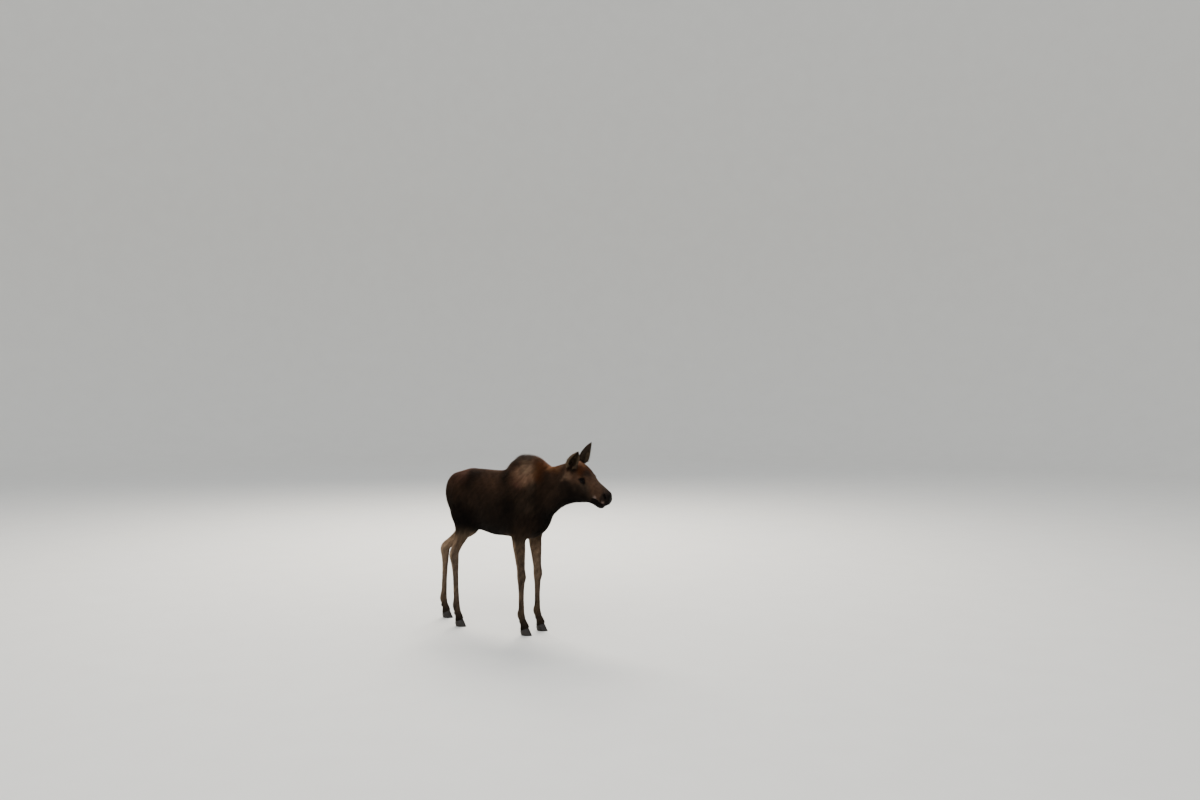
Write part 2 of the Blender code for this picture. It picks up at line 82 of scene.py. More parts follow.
def joined(pieces, name):
    """One object from these, which takes the first one's place."""
    bpy.ops.object.select_all(action="DESELECT")
    for piece in pieces:
        piece.select_set(True)
    bpy.context.view_layer.objects.active = pieces[0]
    bpy.ops.object.join()
    pieces[0].name = name
    return pieces[0]


def cast(names, name, grown):
    """One new object from copies of these solids, merged and grown enough to close the seams."""
    copies = []
    for node_name in names:
        copies.append(bpy.data.objects.new(name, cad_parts[node_name].data.copy()))
        bpy.context.scene.collection.objects.link(copies[-1])
    made = joined(copies[::-1], name)
    bpy.ops.object.mode_set(mode="EDIT")
    bpy.ops.mesh.select_all(action="SELECT")
    bpy.ops.mesh.remove_doubles(threshold=0.00002)
    bpy.ops.object.mode_set(mode="OBJECT")
    if grown:
        applied(made, "DISPLACE", strength=grown, mid_level=0.0)
    return made


def read(items, field, width, kind=np.float32):
    """A field of a mesh's items, as rows of so many numbers."""
    out = np.empty(len(items) * width, kind)
    items.foreach_get(field, out)
    return out.reshape(-1, width)


def points_of(piece):
    return read(piece.data.vertices, "co", 3).astype(float)


def set_points(piece, points):
    piece.data.vertices.foreach_set("co", points.astype(np.float32).ravel())
    piece.data.update()


def normals_of(piece):
    return read(piece.data.vertex_normals, "vector", 3).astype(float)


def eased(value, low, high):
    """0 below low, 1 above high, and a smooth step between."""
    t = np.clip((value - low) / (high - low), 0.0, 1.0)
    return t * t * (3.0 - 2.0 * t)


def faded(value, low, high):
    """1 below low, 0 above high, and a smooth step between."""
    return 1 - eased(value, low, high)


def ridge(value, middle, width):
    """1 at the middle, and softly down to 0 past the width on either side."""
    return np.exp(-((value - middle) / width) ** 2)


def toward(old, new, share):
    """What lies by that share from the old to the new, for single numbers or rows of them."""
    return old + (new - old) * (share if np.ndim(old) < 2 else share[:, None])


def norms(vectors):
    return np.linalg.norm(vectors, axis=1)


def relaxed(piece, rounds, weight=0.5):
    """Draws each point to the mean of its neighbours, for its own number of rounds."""
    a, b = read(piece.data.edges, "vertices", 2, np.int32).T
    points = points_of(piece)
    count = len(points)
    valence = np.bincount(a, minlength=count) + np.bincount(b, minlength=count)
    rounds = np.broadcast_to(rounds, count)
    for turn in range(int(math.ceil(rounds.max()))):
        share = weight * np.clip(rounds - turn, 0.0, 1.0)
        for axis in range(3):
            line = points[:, axis]
            total = np.bincount(a, line[b], count) + np.bincount(b, line[a], count)
            points[:, axis] = line + share * (total / np.maximum(valence, 1) - line)
    set_points(piece, points)


def middle_of(node_name):
    low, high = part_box(node_name)
    return (low + high) / 2


BETWEEN_EYES = (middle_of(EYE_NAMES[0]) + middle_of(EYE_NAMES[1])) / 2
HEAD = Matrix.Translation(BETWEEN_EYES) @ Matrix.Rotation(math.radians(FACE_SLOPE), 4, "Y")
HEAD_TURN = np.array(HEAD.to_3x3())


def in_head(points):
    """Points in the head's frame: down the face, to the left, and up from the face."""
    return (points - np.array(BETWEEN_EYES)) @ HEAD_TURN


def unit(vector):
    return vector / np.linalg.norm(vector)


EYE_OPENING = (0.0158, 0.0108)
EYE_FRAMES = []
for eye_name, side in zip(EYE_NAMES, (-1, 1)):
    outward = unit(HEAD_TURN @ np.array((0.22, side, 0.10)))
    corner = HEAD_TURN @ np.array((1.0, 0.0, -0.16))
    fore = unit(corner - outward * (corner @ outward))
    EYE_FRAMES.append((np.array(middle_of(eye_name)), fore, np.cross(fore, outward) * side, outward))


def lid_edges(u):
    """Along an eye: the height of its long axis, and how far the upper and lower lids are from it."""
    long, tall = EYE_OPENING
    arch = tall * np.clip(1 - (u / long) ** 2, 0.0, 1.0) ** 0.72
    return 0.0006 - 0.0035 * (u / long) ** 2, arch, 0.86 * arch


def on_eyes(points):
    """For each point and its nearer eye: away from the ball's middle, and past the lids' edge."""
    best, past = np.full((2, len(points)), 1e9)
    away, height = np.zeros((len(points), 3)), np.zeros(len(points))
    long = EYE_OPENING[0]
    for centre, fore, up, outward in EYE_FRAMES:
        q = points - centre
        u, v, w = q @ fore, q @ up, q @ outward
        level, upper, lower = lid_edges(u)
        over = np.abs(v - level) - np.where(v > level, upper, lower)
        over = np.where(np.abs(u) < long, over, np.hypot(np.abs(u) - long, v - level))
        distance = norms(q)
        take = (distance < best) & (w > -0.004)
        best[take], past[take], away[take], height[take] = distance[take], over[take], q[take], v[take]
    return best, away, past, height


def mouth_gap(local):
    """How far head points lie above the line of the mouth, and how far forward it has begun."""
    down, _, up = local.T
    level = -0.0640 - 0.35 * np.clip(0.150 - down, 0, 0.03) + 0.10 * np.clip(down - 0.19, 0, 0.05)
    return up - level, eased(down, 0.117, 0.130)


def leg_core(leg):
    """The middle of one leg at each height, from its two solids: heights, X and Y."""
    both = [np.array([v.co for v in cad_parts[f"{leg}_{part}"].data.vertices])
            for part in ("upper", "lower")]
    points = np.vstack(both)
    heights, middles = [], []
    for height in np.arange(0.06, points[:, 2].max() - 0.02, 0.035):
        near = points[np.abs(points[:, 2] - height) < 0.024]
        if len(near) > 5:
            heights.append(height)
            middles.append((near.min(axis=0) + near.max(axis=0))[:2] / 2)
    return np.array(heights), np.array(middles)


LEG_CORES = {leg: leg_core(leg) for leg in LEG_NAMES}
LEG_TOP = {leg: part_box(f"{leg}_upper")[1].z for leg in LEG_NAMES}


def on_legs(points):
    """How far each point belongs to a leg, its offset from that leg's core, and the way down."""
    best = np.full(len(points), 1e9)
    offset = np.zeros((len(points), 2))
    down = np.tile((0.0, 0.0, -1.0), (len(points), 1))
    share = np.zeros(len(points))
    for leg, (heights, middles) in LEG_CORES.items():
        z = points[:, 2]
        core = np.stack([np.interp(z, heights, middles[:, i]) for i in range(2)], axis=1)
        ahead = np.stack([np.interp(z - 0.02, heights, middles[:, i]) for i in range(2)], axis=1)
        apart = points[:, :2] - core
        distance = norms(apart)
        nearer = distance < best
        fall = np.column_stack([(ahead - core) / 0.02, -np.ones(len(points))])
        top = LEG_TOP[leg]
        belongs = faded(z, top - 0.03, top + 0.09)
        for kept, found in ((best, distance), (offset, apart), (down, fall), (share, belongs)):
            kept[nearer] = found[nearer]
    share *= faded(best, 0.10, 0.16)
    return share, offset, down / norms(down)[:, None]


# Each foot's skin runs down inside its two claws. The horn's upper edge, the coronet, slopes from
# high in front to low over the heels.
CLAW_NAMES = [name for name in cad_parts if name.startswith("claw_")]
FEET = [(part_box(f"claw_{foot}_right")[0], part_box(f"claw_{foot}_left")[1])
        for foot in ("fore_right", "fore_left", "hind_right", "hind_left")]
HEEL_LINE, TOE_LINE, CORONET_LENGTH, QUICK = 0.032, 0.060, 0.062, 0.026


def at_feet(points):
    """How high each point is over its foot's coronet, and how far it is ahead of the heel."""
    over, ahead = np.ones(len(points)), np.zeros(len(points))
    for low, high in FEET:
        near = (np.abs(points[:, :2] - (np.array(low + high) / 2)[:2]) < (0.07, 0.06)).all(axis=1)
        near &= points[:, 2] < 0.15
        ahead[near] = (points[:, 0] - low.x)[near]
        line = HEEL_LINE + (TOE_LINE - HEEL_LINE) * np.clip(ahead / CORONET_LENGTH, 0.0, 1.0)
        over[near] = (points[:, 2] - line)[near]
    return over, ahead


quick = cast(CLAW_NAMES, "quick", FILLED_SEAM)
place = points_of(quick)
_, ahead = at_feet(place)
place[:, 0] -= np.maximum(ahead - CORONET_LENGTH + 0.006, 0.0)
place[:, 2] = np.maximum(place[:, 2], QUICK)
set_points(quick, place)
flesh = joined([cast(BODY_FLESH, "flesh", FILLED_SEAM), quick], "flesh")
applied(flesh, "REMESH", mode="VOXEL", voxel_size=BODY_VOXEL)
place = points_of(flesh)
faceward = eased(in_head(place)[:, 0], -0.25, -0.14)
legward = faded(place[:, 2], 0.66, 0.80)
tail_low, tail_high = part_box("tail")
tailward = eased(-place[:, 0], -tail_high.x - 0.02, -tail_high.x + 0.012)
tailward *= (np.abs(place[:, 1]) < 0.045) * eased(place[:, 2], tail_low.z - 0.03, tail_low.z)
rounds = toward(toward(BODY_ROUNDS, LEG_ROUNDS, legward), HEAD_ROUNDS, faceward)
relaxed(flesh, toward(rounds, TAIL_ROUNDS, tailward))

# Tendons stand clear of the bones: a groove runs down each side of every cannon, and a hollow
# lies ahead of the great tendon above each hock.
place = points_of(flesh)
share, offset, _ = on_legs(place)
z, beside = place[:, 2], eased(np.abs(offset[:, 1]), 0.006, 0.012) * share
cannon = eased(z, 0.13, 0.18) * (1 - eased(z, 0.34, 0.40) * (place[:, 0] > -0.2))
groove = 0.0030 * ridge(offset[:, 0], -0.004, 0.0055) * (cannon * faded(z, 0.47, 0.52))
above_hock = eased(z, 0.56, 0.60) * faded(z, 0.66, 0.74) * (place[:, 0] < -0.2)
groove += 0.0060 * ridge(offset[:, 0], -0.012, 0.011) * above_hock
set_points(flesh, place - normals_of(flesh) * (groove * beside)[:, None])
relaxed(flesh, 2 * (groove > 0.0002))

ears = cast(EAR_NAMES + EYE_NAMES, "ears", FILLED_SEAM / 2)
hide = joined([flesh, ears], "hide")
applied(hide, "REMESH", mode="VOXEL", voxel_size=HIDE_VOXEL)
relaxed(hide, 7)

# The ears are leaf-shaped cups. Each has a root and a tip in the head's frame, and the heading that
# it opens to. A cup's rows are the way along it, its radius, and how far round it reaches each way.
EARS = (((-0.162, -0.045, -0.014), (-0.127, -0.114, 0.180), -50.0),
        ((-0.156, 0.042, -0.006), (-0.166, 0.090, 0.220), 80.0))
EAR_CUP = np.array((
    (0.00, 0.024, 172.0), (0.15, 0.026, 168.0), (0.27, 0.033, 147.0), (0.38, 0.041, 114.0),
    (0.50, 0.044, 89.0), (0.64, 0.042, 71.0), (0.79, 0.034, 57.0), (0.92, 0.020, 48.0),
    (1.00, 0.006, 40.0)))


def on_ears(points):
    """For each point: how far it is ear, its place along and round it, how far inside, and the axes."""
    share, along_it, round_it, inward = np.zeros((4, len(points)))
    tipward, acrosses, openings = np.zeros((3, len(points), 3))
    for root, tip, heading in EARS:
        root, tip = (np.array(HEAD @ Vector(end)) for end in (root, tip))
        length = np.linalg.norm(tip - root)
        axis = (tip - root) / length
        ahead = np.array((math.cos(math.radians(heading)), math.sin(math.radians(heading)), 0.0))
        opening = unit(ahead - axis * (ahead @ axis))
        across = np.cross(axis, opening)
        t = np.clip((points - root) @ axis / length, 0.0, 1.0)
        radius = np.interp(t, EAR_CUP[:, 0], EAR_CUP[:, 1])
        half = np.radians(np.interp(t, EAR_CUP[:, 0], EAR_CUP[:, 2]))
        back = root + t[:, None] * (tip - root) - opening * (0.014 * np.sin(np.pi * t))[:, None]
        away = points - (back + opening * radius[:, None])
        away -= axis * (away @ axis)[:, None]
        distance = norms(away)
        turn = np.arctan2(away @ across, -(away @ opening)) / half
        beyond = np.maximum((points - root) @ axis / length - 1.03, 0.0) * length
        near = np.abs(distance - radius + 0.003) + beyond + 0.02 * np.maximum(np.abs(turn) - 1.15, 0)
        mine = faded(near, 0.008, 0.016) * eased(t, 0.13, 0.30)
        mine *= (points - root) @ axis > 0
        take = mine > share
        share[take] = mine[take]
        along_it[take], round_it[take] = t[take], turn[take]
        inward[take] = (radius - distance)[take]
        tipward[take], acrosses[take], openings[take] = axis, across, opening
    return share, along_it, round_it, inward, tipward, acrosses, openings


# The coat's map. Its tones run from near black below to fawn on the hump's sides. Each row is one
# part of the coat: its place (X from the middle, out to either side, up), its reach, its tone, the
# hair's length and depth in millimetres, and its lie, from 0 for straight back to 90 for down.
TONES = {
    "ink": "0d0907", "soot": "17110d", "seal": "251b15", "umber": "33261d", "walnut": "473326",
    "bark": "533c2d", "chestnut": "644538", "russet": "492915", "rust": "6c462b", "ginger": "83583a",
    "drab": "3d3127", "tan": "785c48", "fawn": "8b6a54", "pale": "8f735c", "ash": "806c62",
}
BODY_COAT = """
-.62 0 1.08 .09 walnut 26 9 60
-.6 .07 1.02 .09 umber 24 8 70
-.6 .05 .88 .09 seal 24 8 84
-.57 .05 1.16 .08 bark 26 8 38
-.5 .04 1.22 .08 chestnut 27 9 14
-.44 .09 1.19 .055 chestnut 25 8 24
-.47 .13 1.13 .065 walnut 24 8 40
-.38 .03 1.235 .028 umber 32 14 14
-.36 .07 1.205 .032 seal 26 9 24
-.35 .1 1.17 .042 seal 24 8 34
-.38 .12 1.12 .05 seal 24 8 46
-.51 .14 1.06 .08 umber 24 8 62
-.55 .13 .97 .08 soot 23 8 74
-.35 .14 1.04 .08 umber 24 8 62
-.43 .15 .93 .09 soot 22 7 76
-.38 .14 .83 .08 ink 22 7 78
-.32 .08 1.19 .034 seal 27 9 16
-.28 .07 1.21 .05 umber 28 9 8
-.3 .02 1.24 .06 walnut 28 9 4
-.17 .04 1.23 .08 bark 30 10 4
-.24 .12 1.15 .07 walnut 27 8 20
-.12 .12 1.14 .06 bark 27 8 26
-.25 .15 1.04 .08 umber 26 8 30
-.1 .15 1.05 .07 umber 26 8 38
-.24 .16 .93 .08 seal 26 8 34
-.1 .16 .92 .08 seal 26 8 40
-.3 .12 .82 .08 soot 26 8 46
-.15 .13 .8 .08 soot 28 9 26
-.15 0 .73 .08 ink 30 9 6
-.32 0 .76 .08 soot 28 8 10
-.03 .11 1.18 .045 seal 26 8 44
-.05 .08 1.23 .04 umber 28 9 30
.04 .14 1.1 .05 umber 25 8 54
.02 .16 .98 .07 soot 25 8 54
.01 .15 .86 .08 soot 25 8 56
.02 .08 1.26 .036 walnut 28 9 42
.03 .12 1.19 .036 bark 26 8 56
.07 .09 1.24 .04 fawn 26 8 60
.13 .08 1.25 .046 pale 26 8 64
.18 .07 1.255 .036 pale 26 8 66
.14 .11 1.19 .044 fawn 24 7 72
.09 .12 1.16 .036 chestnut 24 7 70
.185 .1 1.2 .034 fawn 24 7 74
.2 .11 1.14 .034 drab 24 7 76
.13 .13 1.08 .06 umber 24 7 78
.17 .13 1 .07 drab 24 7 82
.14 .14 .9 .07 seal 24 7 84
.12 .14 .8 .07 umber 22 6 88
-.07 .03 1.28 .05 walnut 38 14 2
0 0 1.33 .05 umber 48 18 -4
.07 0 1.355 .04 seal 66 26 -12
.14 0 1.36 .05 seal 74 31 -16
.21 0 1.33 .04 walnut 48 17 -4
.04 .05 1.31 .036 umber 38 14 24
.14 .03 1.325 .03 umber 40 15 30
.225 .07 1.24 .034 rust 32 10 56
.25 .03 1.28 .042 russet 42 16 18
.27 .08 1.21 .036 russet 30 9 60
.28 .1 1.14 .042 umber 28 9 68
.24 .11 1.03 .055 soot 28 9 76
.34 0 1.29 .045 ginger 34 12 8
.39 .03 1.28 .04 rust 30 10 14
.46 0 1.32 .05 walnut 30 10 6
.32 .08 1.2 .048 umber 26 8 44
.4 .08 1.21 .05 walnut 25 8 36
.36 .09 1.13 .06 umber 26 8 46
.34 .09 1.04 .06 umber 26 8 50
.44 .09 1.13 .05 umber 25 8 42
.42 .07 1.02 .055 soot 27 9 40
.3 .08 .93 .06 soot 28 9 60
.3 0 .9 .07 ink 32 10 60
.4 0 .97 .06 ink 30 10 38
.5 0 1 .05 ink 28 9 20
.22 0 .78 .07 soot 30 9 60
.2 .12 .86 .06 seal 26 8 74
.05 .04 .73 .07 ink 28 8 14
"""

# The head's rows are in its own frame: down the face from between the eyes, out, and up.
# The small ash row at .21 .034 -.046 is a painted highlight on the wet upper lip, before the nostril.
HEAD_COAT = """
-.165 0 .06 .035 bark 30 10 4
-.12 0 .085 .03 ginger 30 11 -6
-.075 0 .084 .028 rust 20 6 0
-.03 0 .076 .026 russet 15 4.5 0
-.014 .042 .058 .024 seal 12 3.5 8
-.06 .05 .055 .028 russet 14 4 8
.03 0 .058 .03 walnut 10 3 0
.025 .05 .037 .024 walnut 9 2.6 6
.075 0 .047 .03 bark 8 2.6 0
.12 0 .043 .03 walnut 7 2.2 0
.165 0 .042 .026 umber 6 2 0
.205 0 .03 .022 seal 6 1.8 0
.24 0 0 .024 ink 5 1.6 0
.238 0 -.03 .022 ink 5 1.6 0
.225 .03 -.006 .02 soot 5 1.6 6
.19 .044 .008 .018 seal 5 1.5 6
.15 .04 .015 .024 walnut 6 1.9 6
.1 .045 .018 .028 bark 7 2.2 8
.06 .06 .01 .024 bark 7 2.2 10
.15 .046 -.03 .02 walnut 6 1.8 10
.192 .044 -.036 .018 seal 6 1.6 10
.138 .042 -.055 .011 ash 6 1.7 12
.172 .04 -.052 .012 walnut 6 1.6 12
.21 .034 -.046 .009 ash 5 1.4 10
.224 .018 -.054 .016 soot 5 1.4 10
.205 .02 -.09 .024 ink 11 3 14
.205 0 -.112 .024 ink 15 4.5 20
.15 0 -.12 .03 ink 15 4.5 20
.14 .034 -.088 .024 soot 10 3 14
.105 .045 -.066 .024 umber 8 2.6 14
.09 .044 -.11 .03 soot 13 4 16
.105 .05 -.026 .026 walnut 7 2.2 10
.048 .07 -.028 .028 drab 9 2.8 14
.04 .066 -.062 .028 seal 10 3.2 16
.02 .06 -.12 .034 soot 14 4.5 18
.04 0 -.165 .04 ink 18 6 14
-.05 0 -.18 .044 ink 22 8 10
-.01 .074 -.07 .03 umber 10 3.4 18
-.055 .078 -.08 .03 umber 12 3.8 20
-.045 .07 -.13 .034 soot 16 5.5 22
-.1 .08 -.105 .028 seal 20 6.5 24
-.105 .066 -.145 .036 soot 22 8 26
.02 .07 -.036 .018 drab 8 2.4 12
-.035 .078 -.03 .022 bark 9 2.8 14
-.07 .075 -.045 .024 bark 12 3.8 16
-.08 .076 -.01 .024 bark 11 3.6 14
-.11 .075 -.045 .022 tan 14 4.6 24
-.105 .068 .022 .024 seal 14 4.5 8
-.13 .08 -.03 .016 tan 17 5 34
-.134 .084 -.06 .01 pale 18 6 60
-.14 .086 -.09 .011 tan 20 6.5 64
-.16 .08 -.01 .02 walnut 18 6 24
-.17 .09 -.11 .034 umber 24 8 34
"""


def shade(text):
    """The three numbers up to 255 in a colour's hex text."""
    return [int(text[i:i + 2], 16) for i in (0, 2, 4)]


def linear(colour):
    """A colour from sRGB, as hex text or as numbers up to 255, in linear light."""
    part = np.asarray(shade(colour) if isinstance(colour, str) else colour, float) / 255.0
    return np.where(part <= 0.04045, part / 12.92, ((part + 0.055) / 1.055) ** 2.4)


# The legs' rows: height, the colour ahead and behind, the hair's length and its depth.
LEG_COAT = np.array([(z, *shade(ahead), *shade(behind), *hair) for z, ahead, behind, *hair in (
    (0.04, "201a15", "2a221b", 15, 3.2), (0.10, "332921", "45382c", 14, 3.4),
    (0.16, "483a2e", "665240", 10, 3.2), (0.30, "56473b", "7d6957", 10, 3.0),
    (0.42, "544539", "88725e", 10, 3.0), (0.54, "59493c", "9c836c", 12, 3.4),
    (0.64, "604e3f", "937961", 17, 5.0), (0.74, "4f4134", "6a5543", 21, 6.5))])
# The ears' backs are their brown darkened with painted shade.
EAR_BACK_AND_SHADE, EAR_RIM, EAR_HOLLOW, EAR_TUFT = "33271d", "1c140f", "16100c", "927a61"
# Round each eye the coat darkens to the lids' own dark skin, with painted shadow under the brow and in the
# tear gland's pit.
EYE_RING_AND_BROW_SHADE, LIP_LINE = "100b09", "a29086"


def back_and_down(degrees):
    """The way of the lie in the body's frame; the head's rows are turned with the head by its slope
    afterwards.
    """
    turn = np.radians(degrees)
    return np.stack([-np.cos(turn), np.zeros_like(turn), -np.sin(turn)], axis=-1)


COAT_PLACES, COAT_VALUES = [], []
for table, on_head in ((BODY_COAT, False), (HEAD_COAT, True)):
    for row in table.strip().splitlines():
        x, y, z, reach, tone, length, depth, lie = row.split()
        place, way = (float(x), float(y), float(z)), back_and_down(float(lie))
        if on_head:
            place, way = HEAD @ Vector(place), HEAD_TURN @ way
        COAT_PLACES.append((*place, float(reach)))
        COAT_VALUES.append((*linear(TONES[tone]), float(length), float(depth), *way))
COAT_PLACES, COAT_VALUES = np.array(COAT_PLACES), np.array(COAT_VALUES)
MIDLINE, BATCH = BETWEEN_EYES.y, 20000
drift = np.random.default_rng(11)
WAVES, PHASES = [], []
for shortest, longest in ((0.035, 0.16), (0.035, 0.16), (0.011, 0.045)):
    WAVES.append(drift.normal(size=(16, 3)) * 2 * np.pi / drift.uniform(shortest, longest, (16, 1)))
    PHASES.append(drift.uniform(0, 2 * np.pi, 16))


def wandering(points, which=0):
    """Soft uneven patterns, about -1 to 1: two with patches of 35 to 160 mm, one of 11 to 45 mm."""
    return np.sin(points @ WAVES[which].T + PHASES[which]).sum(axis=1) / math.sqrt(8) / 1.6


def on_tail(points):
    x, y, z = points.T
    share = faded(np.abs(y), 0.034, 0.050) * eased(-x, -tail_high.x - 0.002, -tail_high.x + 0.02)
    return share * eased(z, tail_low.z - 0.02, tail_low.z + 0.01) * faded(
        z, tail_high.z - 0.02, tail_high.z)


def beside_tail(points):
    x, y, z = points.T
    share = eased(-x, -tail_high.x - 0.03, -tail_high.x) * ridge(np.abs(y), 0.060, 0.022)
    return share * (eased(z, tail_low.z - 0.09, tail_low.z) * faded(
        z, tail_high.z - 0.05, tail_high.z))


def coat_at(points):
    """The coat's colour, length, depth and lie at each point, for the hide and hair alike."""
    mirrored = points.copy()
    mirrored[:, 1] = np.abs(points[:, 1] - MIDLINE) + MIDLINE
    out = np.empty((len(points), COAT_VALUES.shape[1]))
    for start in range(0, len(points), BATCH):
        some = mirrored[start:start + BATCH]
        apart = some[:, None, :] - COAT_PLACES[None, :, :3]
        square = (apart ** 2).sum(axis=2) / COAT_PLACES[:, 3] ** 2
        weight = np.exp(-square) + 1e-5 / (1.0 + square) ** 2
        out[start:start + BATCH] = weight @ COAT_VALUES / weight.sum(axis=1)[:, None]
    colour, length, depth, lie = out[:, :3], out[:, 3], out[:, 4], out[:, 5:8]

    legs, offset, down = on_legs(points)
    rows = [np.interp(points[:, 2], LEG_COAT[:, 0], LEG_COAT[:, i]) for i in range(1, 9)]
    front, rear = linear(np.stack(rows[:3], axis=1)), linear(np.stack(rows[3:6], axis=1))
    behind = eased(-offset[:, 0] + 0.004 * wandering(points), -0.004, 0.024)
    inner = eased(-offset[:, 1] * np.sign(points[:, 1]), 0.0, 0.03) * 0.5
    colour = toward(colour, toward(front, rear, np.maximum(behind, inner)), legs)
    length, depth, lie = toward(length, rows[6], legs), toward(depth, rows[7], legs), toward(lie, down, legs)

    ear, along, turn, inward, tipward, across, opening = on_ears(points)
    hollow = eased(inward, 0.0022, 0.0036)
    rim = np.maximum(eased(np.abs(turn), 0.80, 0.97), eased(along, 0.90, 0.99))
    # The ears' backs take their brown darkened with painted shade, going darker to the rim and into the
    # hollow.
    ear_brown_and_shade = toward(linear(EAR_BACK_AND_SHADE)[None], linear(EAR_RIM), rim * 0.85)
    colour = toward(colour, toward(ear_brown_and_shade, linear(EAR_HOLLOW), hollow), ear)
    length, depth, lie = toward(length, 8.5, ear), toward(depth, 1.3, ear), toward(lie, tipward, ear)

    local = in_head(points)
    down_face, out_of_middle, _ = local.T
    # The dark ring round each eye: the lids' own dark skin, and painted shadow under the brow.
    eye_ring_and_shade = faded(on_eyes(points)[2], 0.0075, 0.0225)
    gap, forward = mouth_gap(local)
    pale_lip = ridge(gap, 0.0038, 0.0020) * forward * faded(down_face, 0.176, 0.200)
    pale_lip = pale_lip * eased(np.abs(out_of_middle), 0.016, 0.026) * (down_face > 0.1)
    dark_lip = ridge(gap, -0.0050, 0.0050) * forward * (down_face > 0.1)
    tail = on_tail(points)
    for tone, share in (
            (EYE_RING_AND_BROW_SHADE, 0.96 * eye_ring_and_shade), (LIP_LINE, 0.85 * pale_lip), (TONES["ink"], 0.8 * dark_lip),
            (TONES["tan"], 0.30 * beside_tail(points)), (TONES["ink"], 0.75 * tail)):
        colour = toward(colour, linear(tone), share)
    length, depth = toward(length, 30, tail), toward(depth, 3.0, tail)
    lie = toward(lie, np.array((-0.2, 0.0, -1.0)), tail)
    # The coat's tone is uneven in patches and flecks: partly its own mottling, partly painted glints on the
    # hair and painted shadow flecks.
    uneven = 1 + 0.14 * wandering(points) + 0.24 * wandering(points, 2) * (1 - 0.5 * ear)
    return colour * np.maximum(uneven, 0.3)[:, None], length * 0.001, depth * 0.001, lie


place = points_of(hide)
colour, length, depth, lie = coat_at(place)
set_points(hide, place - normals_of(hide) * depth[:, None])
relaxed(hide, 3)


# The face's openings. The hide is cut finer round the eyes and over the muzzle, then pressed into
# lids that lie on the eyeballs, nostrils, the line of the mouth and the folds over them.
def refined(piece, chosen, cuts):
    """Cuts the chosen faces finer. The choice is made from the middles of the faces."""
    form = bmesh.new()
    form.from_mesh(piece.data)
    form.faces.ensure_lookup_table()
    middles = np.array([face.calc_center_median() for face in form.faces])
    faces = [form.faces[i] for i in np.nonzero(chosen(middles))[0]]
    edges = list({edge for face in faces for edge in face.edges})
    bmesh.ops.subdivide_edges(form, edges=edges, cuts=cuts, use_grid_fill=True)
    form.to_mesh(piece.data)
    form.free()


def near_eyes(points):
    return np.minimum(*[norms(points - centre) for centre, *_ in EYE_FRAMES]) < 0.031


def on_muzzle(points):
    return in_head(points)[:, 0] > 0.108


refined(hide, near_eyes, 2)
refined(hide, on_muzzle, 1)
place = points_of(hide)
fine = np.maximum(near_eyes(place), on_muzzle(place)).astype(float)
relaxed(hide, 4 * fine)

place = points_of(hide)
local = in_head(place)
facing = normals_of(hide)
mirrored = np.column_stack([local[:, 0], np.abs(local[:, 1]), local[:, 2]])


def pit(centre, radii, turn):
    """How deep in an oval each mirrored head point is: 1 in the middle, below 0 outside."""
    q = mirrored - np.array(centre)
    c, s = math.cos(math.radians(turn)), math.sin(math.radians(turn))
    long, short = q[:, 0] * c - q[:, 2] * s, q[:, 0] * s + q[:, 2] * c
    return 1 - (long / radii[0]) ** 2 - (short / radii[2]) ** 2 - (q[:, 1] / radii[1]) ** 2


def swell(middle, radii):
    """1 at a mirrored head point, and softly down to 0 past the radii."""
    return np.exp(-((mirrored - middle) ** 2 / np.square(radii)).sum(axis=1))


# A nostril is a long comma that runs down and back from near the tip, under a raised wing.
down_face, out_of_middle, up_from_face = local.T
move = 0.0045 * np.clip(pit((0.196, 0.046, 0.012), (0.030, 0.020, 0.016), 28), 0, 1)
from_mouth, forward = mouth_gap(local)
lips, crease = ridge(np.abs(from_mouth), 0.0080, 0.0042), ridge(from_mouth, 0, 0.0024)
move += 0.0020 * (lips * forward) - 0.0068 * (crease * forward)
move -= 0.0022 * swell((0.122, 0.046, -0.072), 0.009)
groove = ridge(out_of_middle, 0, 0.0028) * eased(down_face, 0.232, 0.244)
move -= 0.0014 * groove * (up_from_face > -0.055)
# The tear gland's pit, the brow, the hollow over it, and the cheek bone's ridge.
for out, middle, radii in (
        (-0.0030, (0.036, 0.060, -0.012), (0.012, 0.012, 0.0045)),
        (0.0040, (-0.004, 0.066, 0.030), (0.026, 0.020, 0.009)),
        (-0.0030, (-0.016, 0.066, 0.044), (0.020, 0.020, 0.008)),
        (0.0026, (0.020, 0.070, -0.030), (0.045, 0.030, 0.009))):
    move += out * swell(middle, radii)
for drop in (0.0, 0.010, 0.019):
    chevron = down_face - 0.205 + drop - 0.35 * np.abs(up_from_face - 0.002)
    wrinkle = ridge(chevron, 0, 0.0024) * eased(mirrored[:, 1], 0.012, 0.03)
    move -= 0.0007 * wrinkle * eased(up_from_face, -0.05, -0.03) * faded(up_from_face, -0.02, 0.0)
place += facing * move[:, None]
hole = pit((0.2030, 0.045, 0.001), (0.0185, 0.030, 0.0074), 36)
hole = np.maximum(hole, pit((0.2145, 0.040, -0.0080), (0.0085, 0.030, 0.0082), 0))
press = 0.0170 * np.clip(hole, 0, 1) ** 0.6 * (mirrored[:, 1] > 0.016)
place += (-facing + HEAD_TURN @ np.array((-0.35, 0.0, 0.10))) * press[:, None]
collar = ridge(hole, -0.25, 0.30) * (mirrored[:, 1] > 0.018) * (down_face > 0.17)
place += facing * (0.0019 * collar)[:, None]

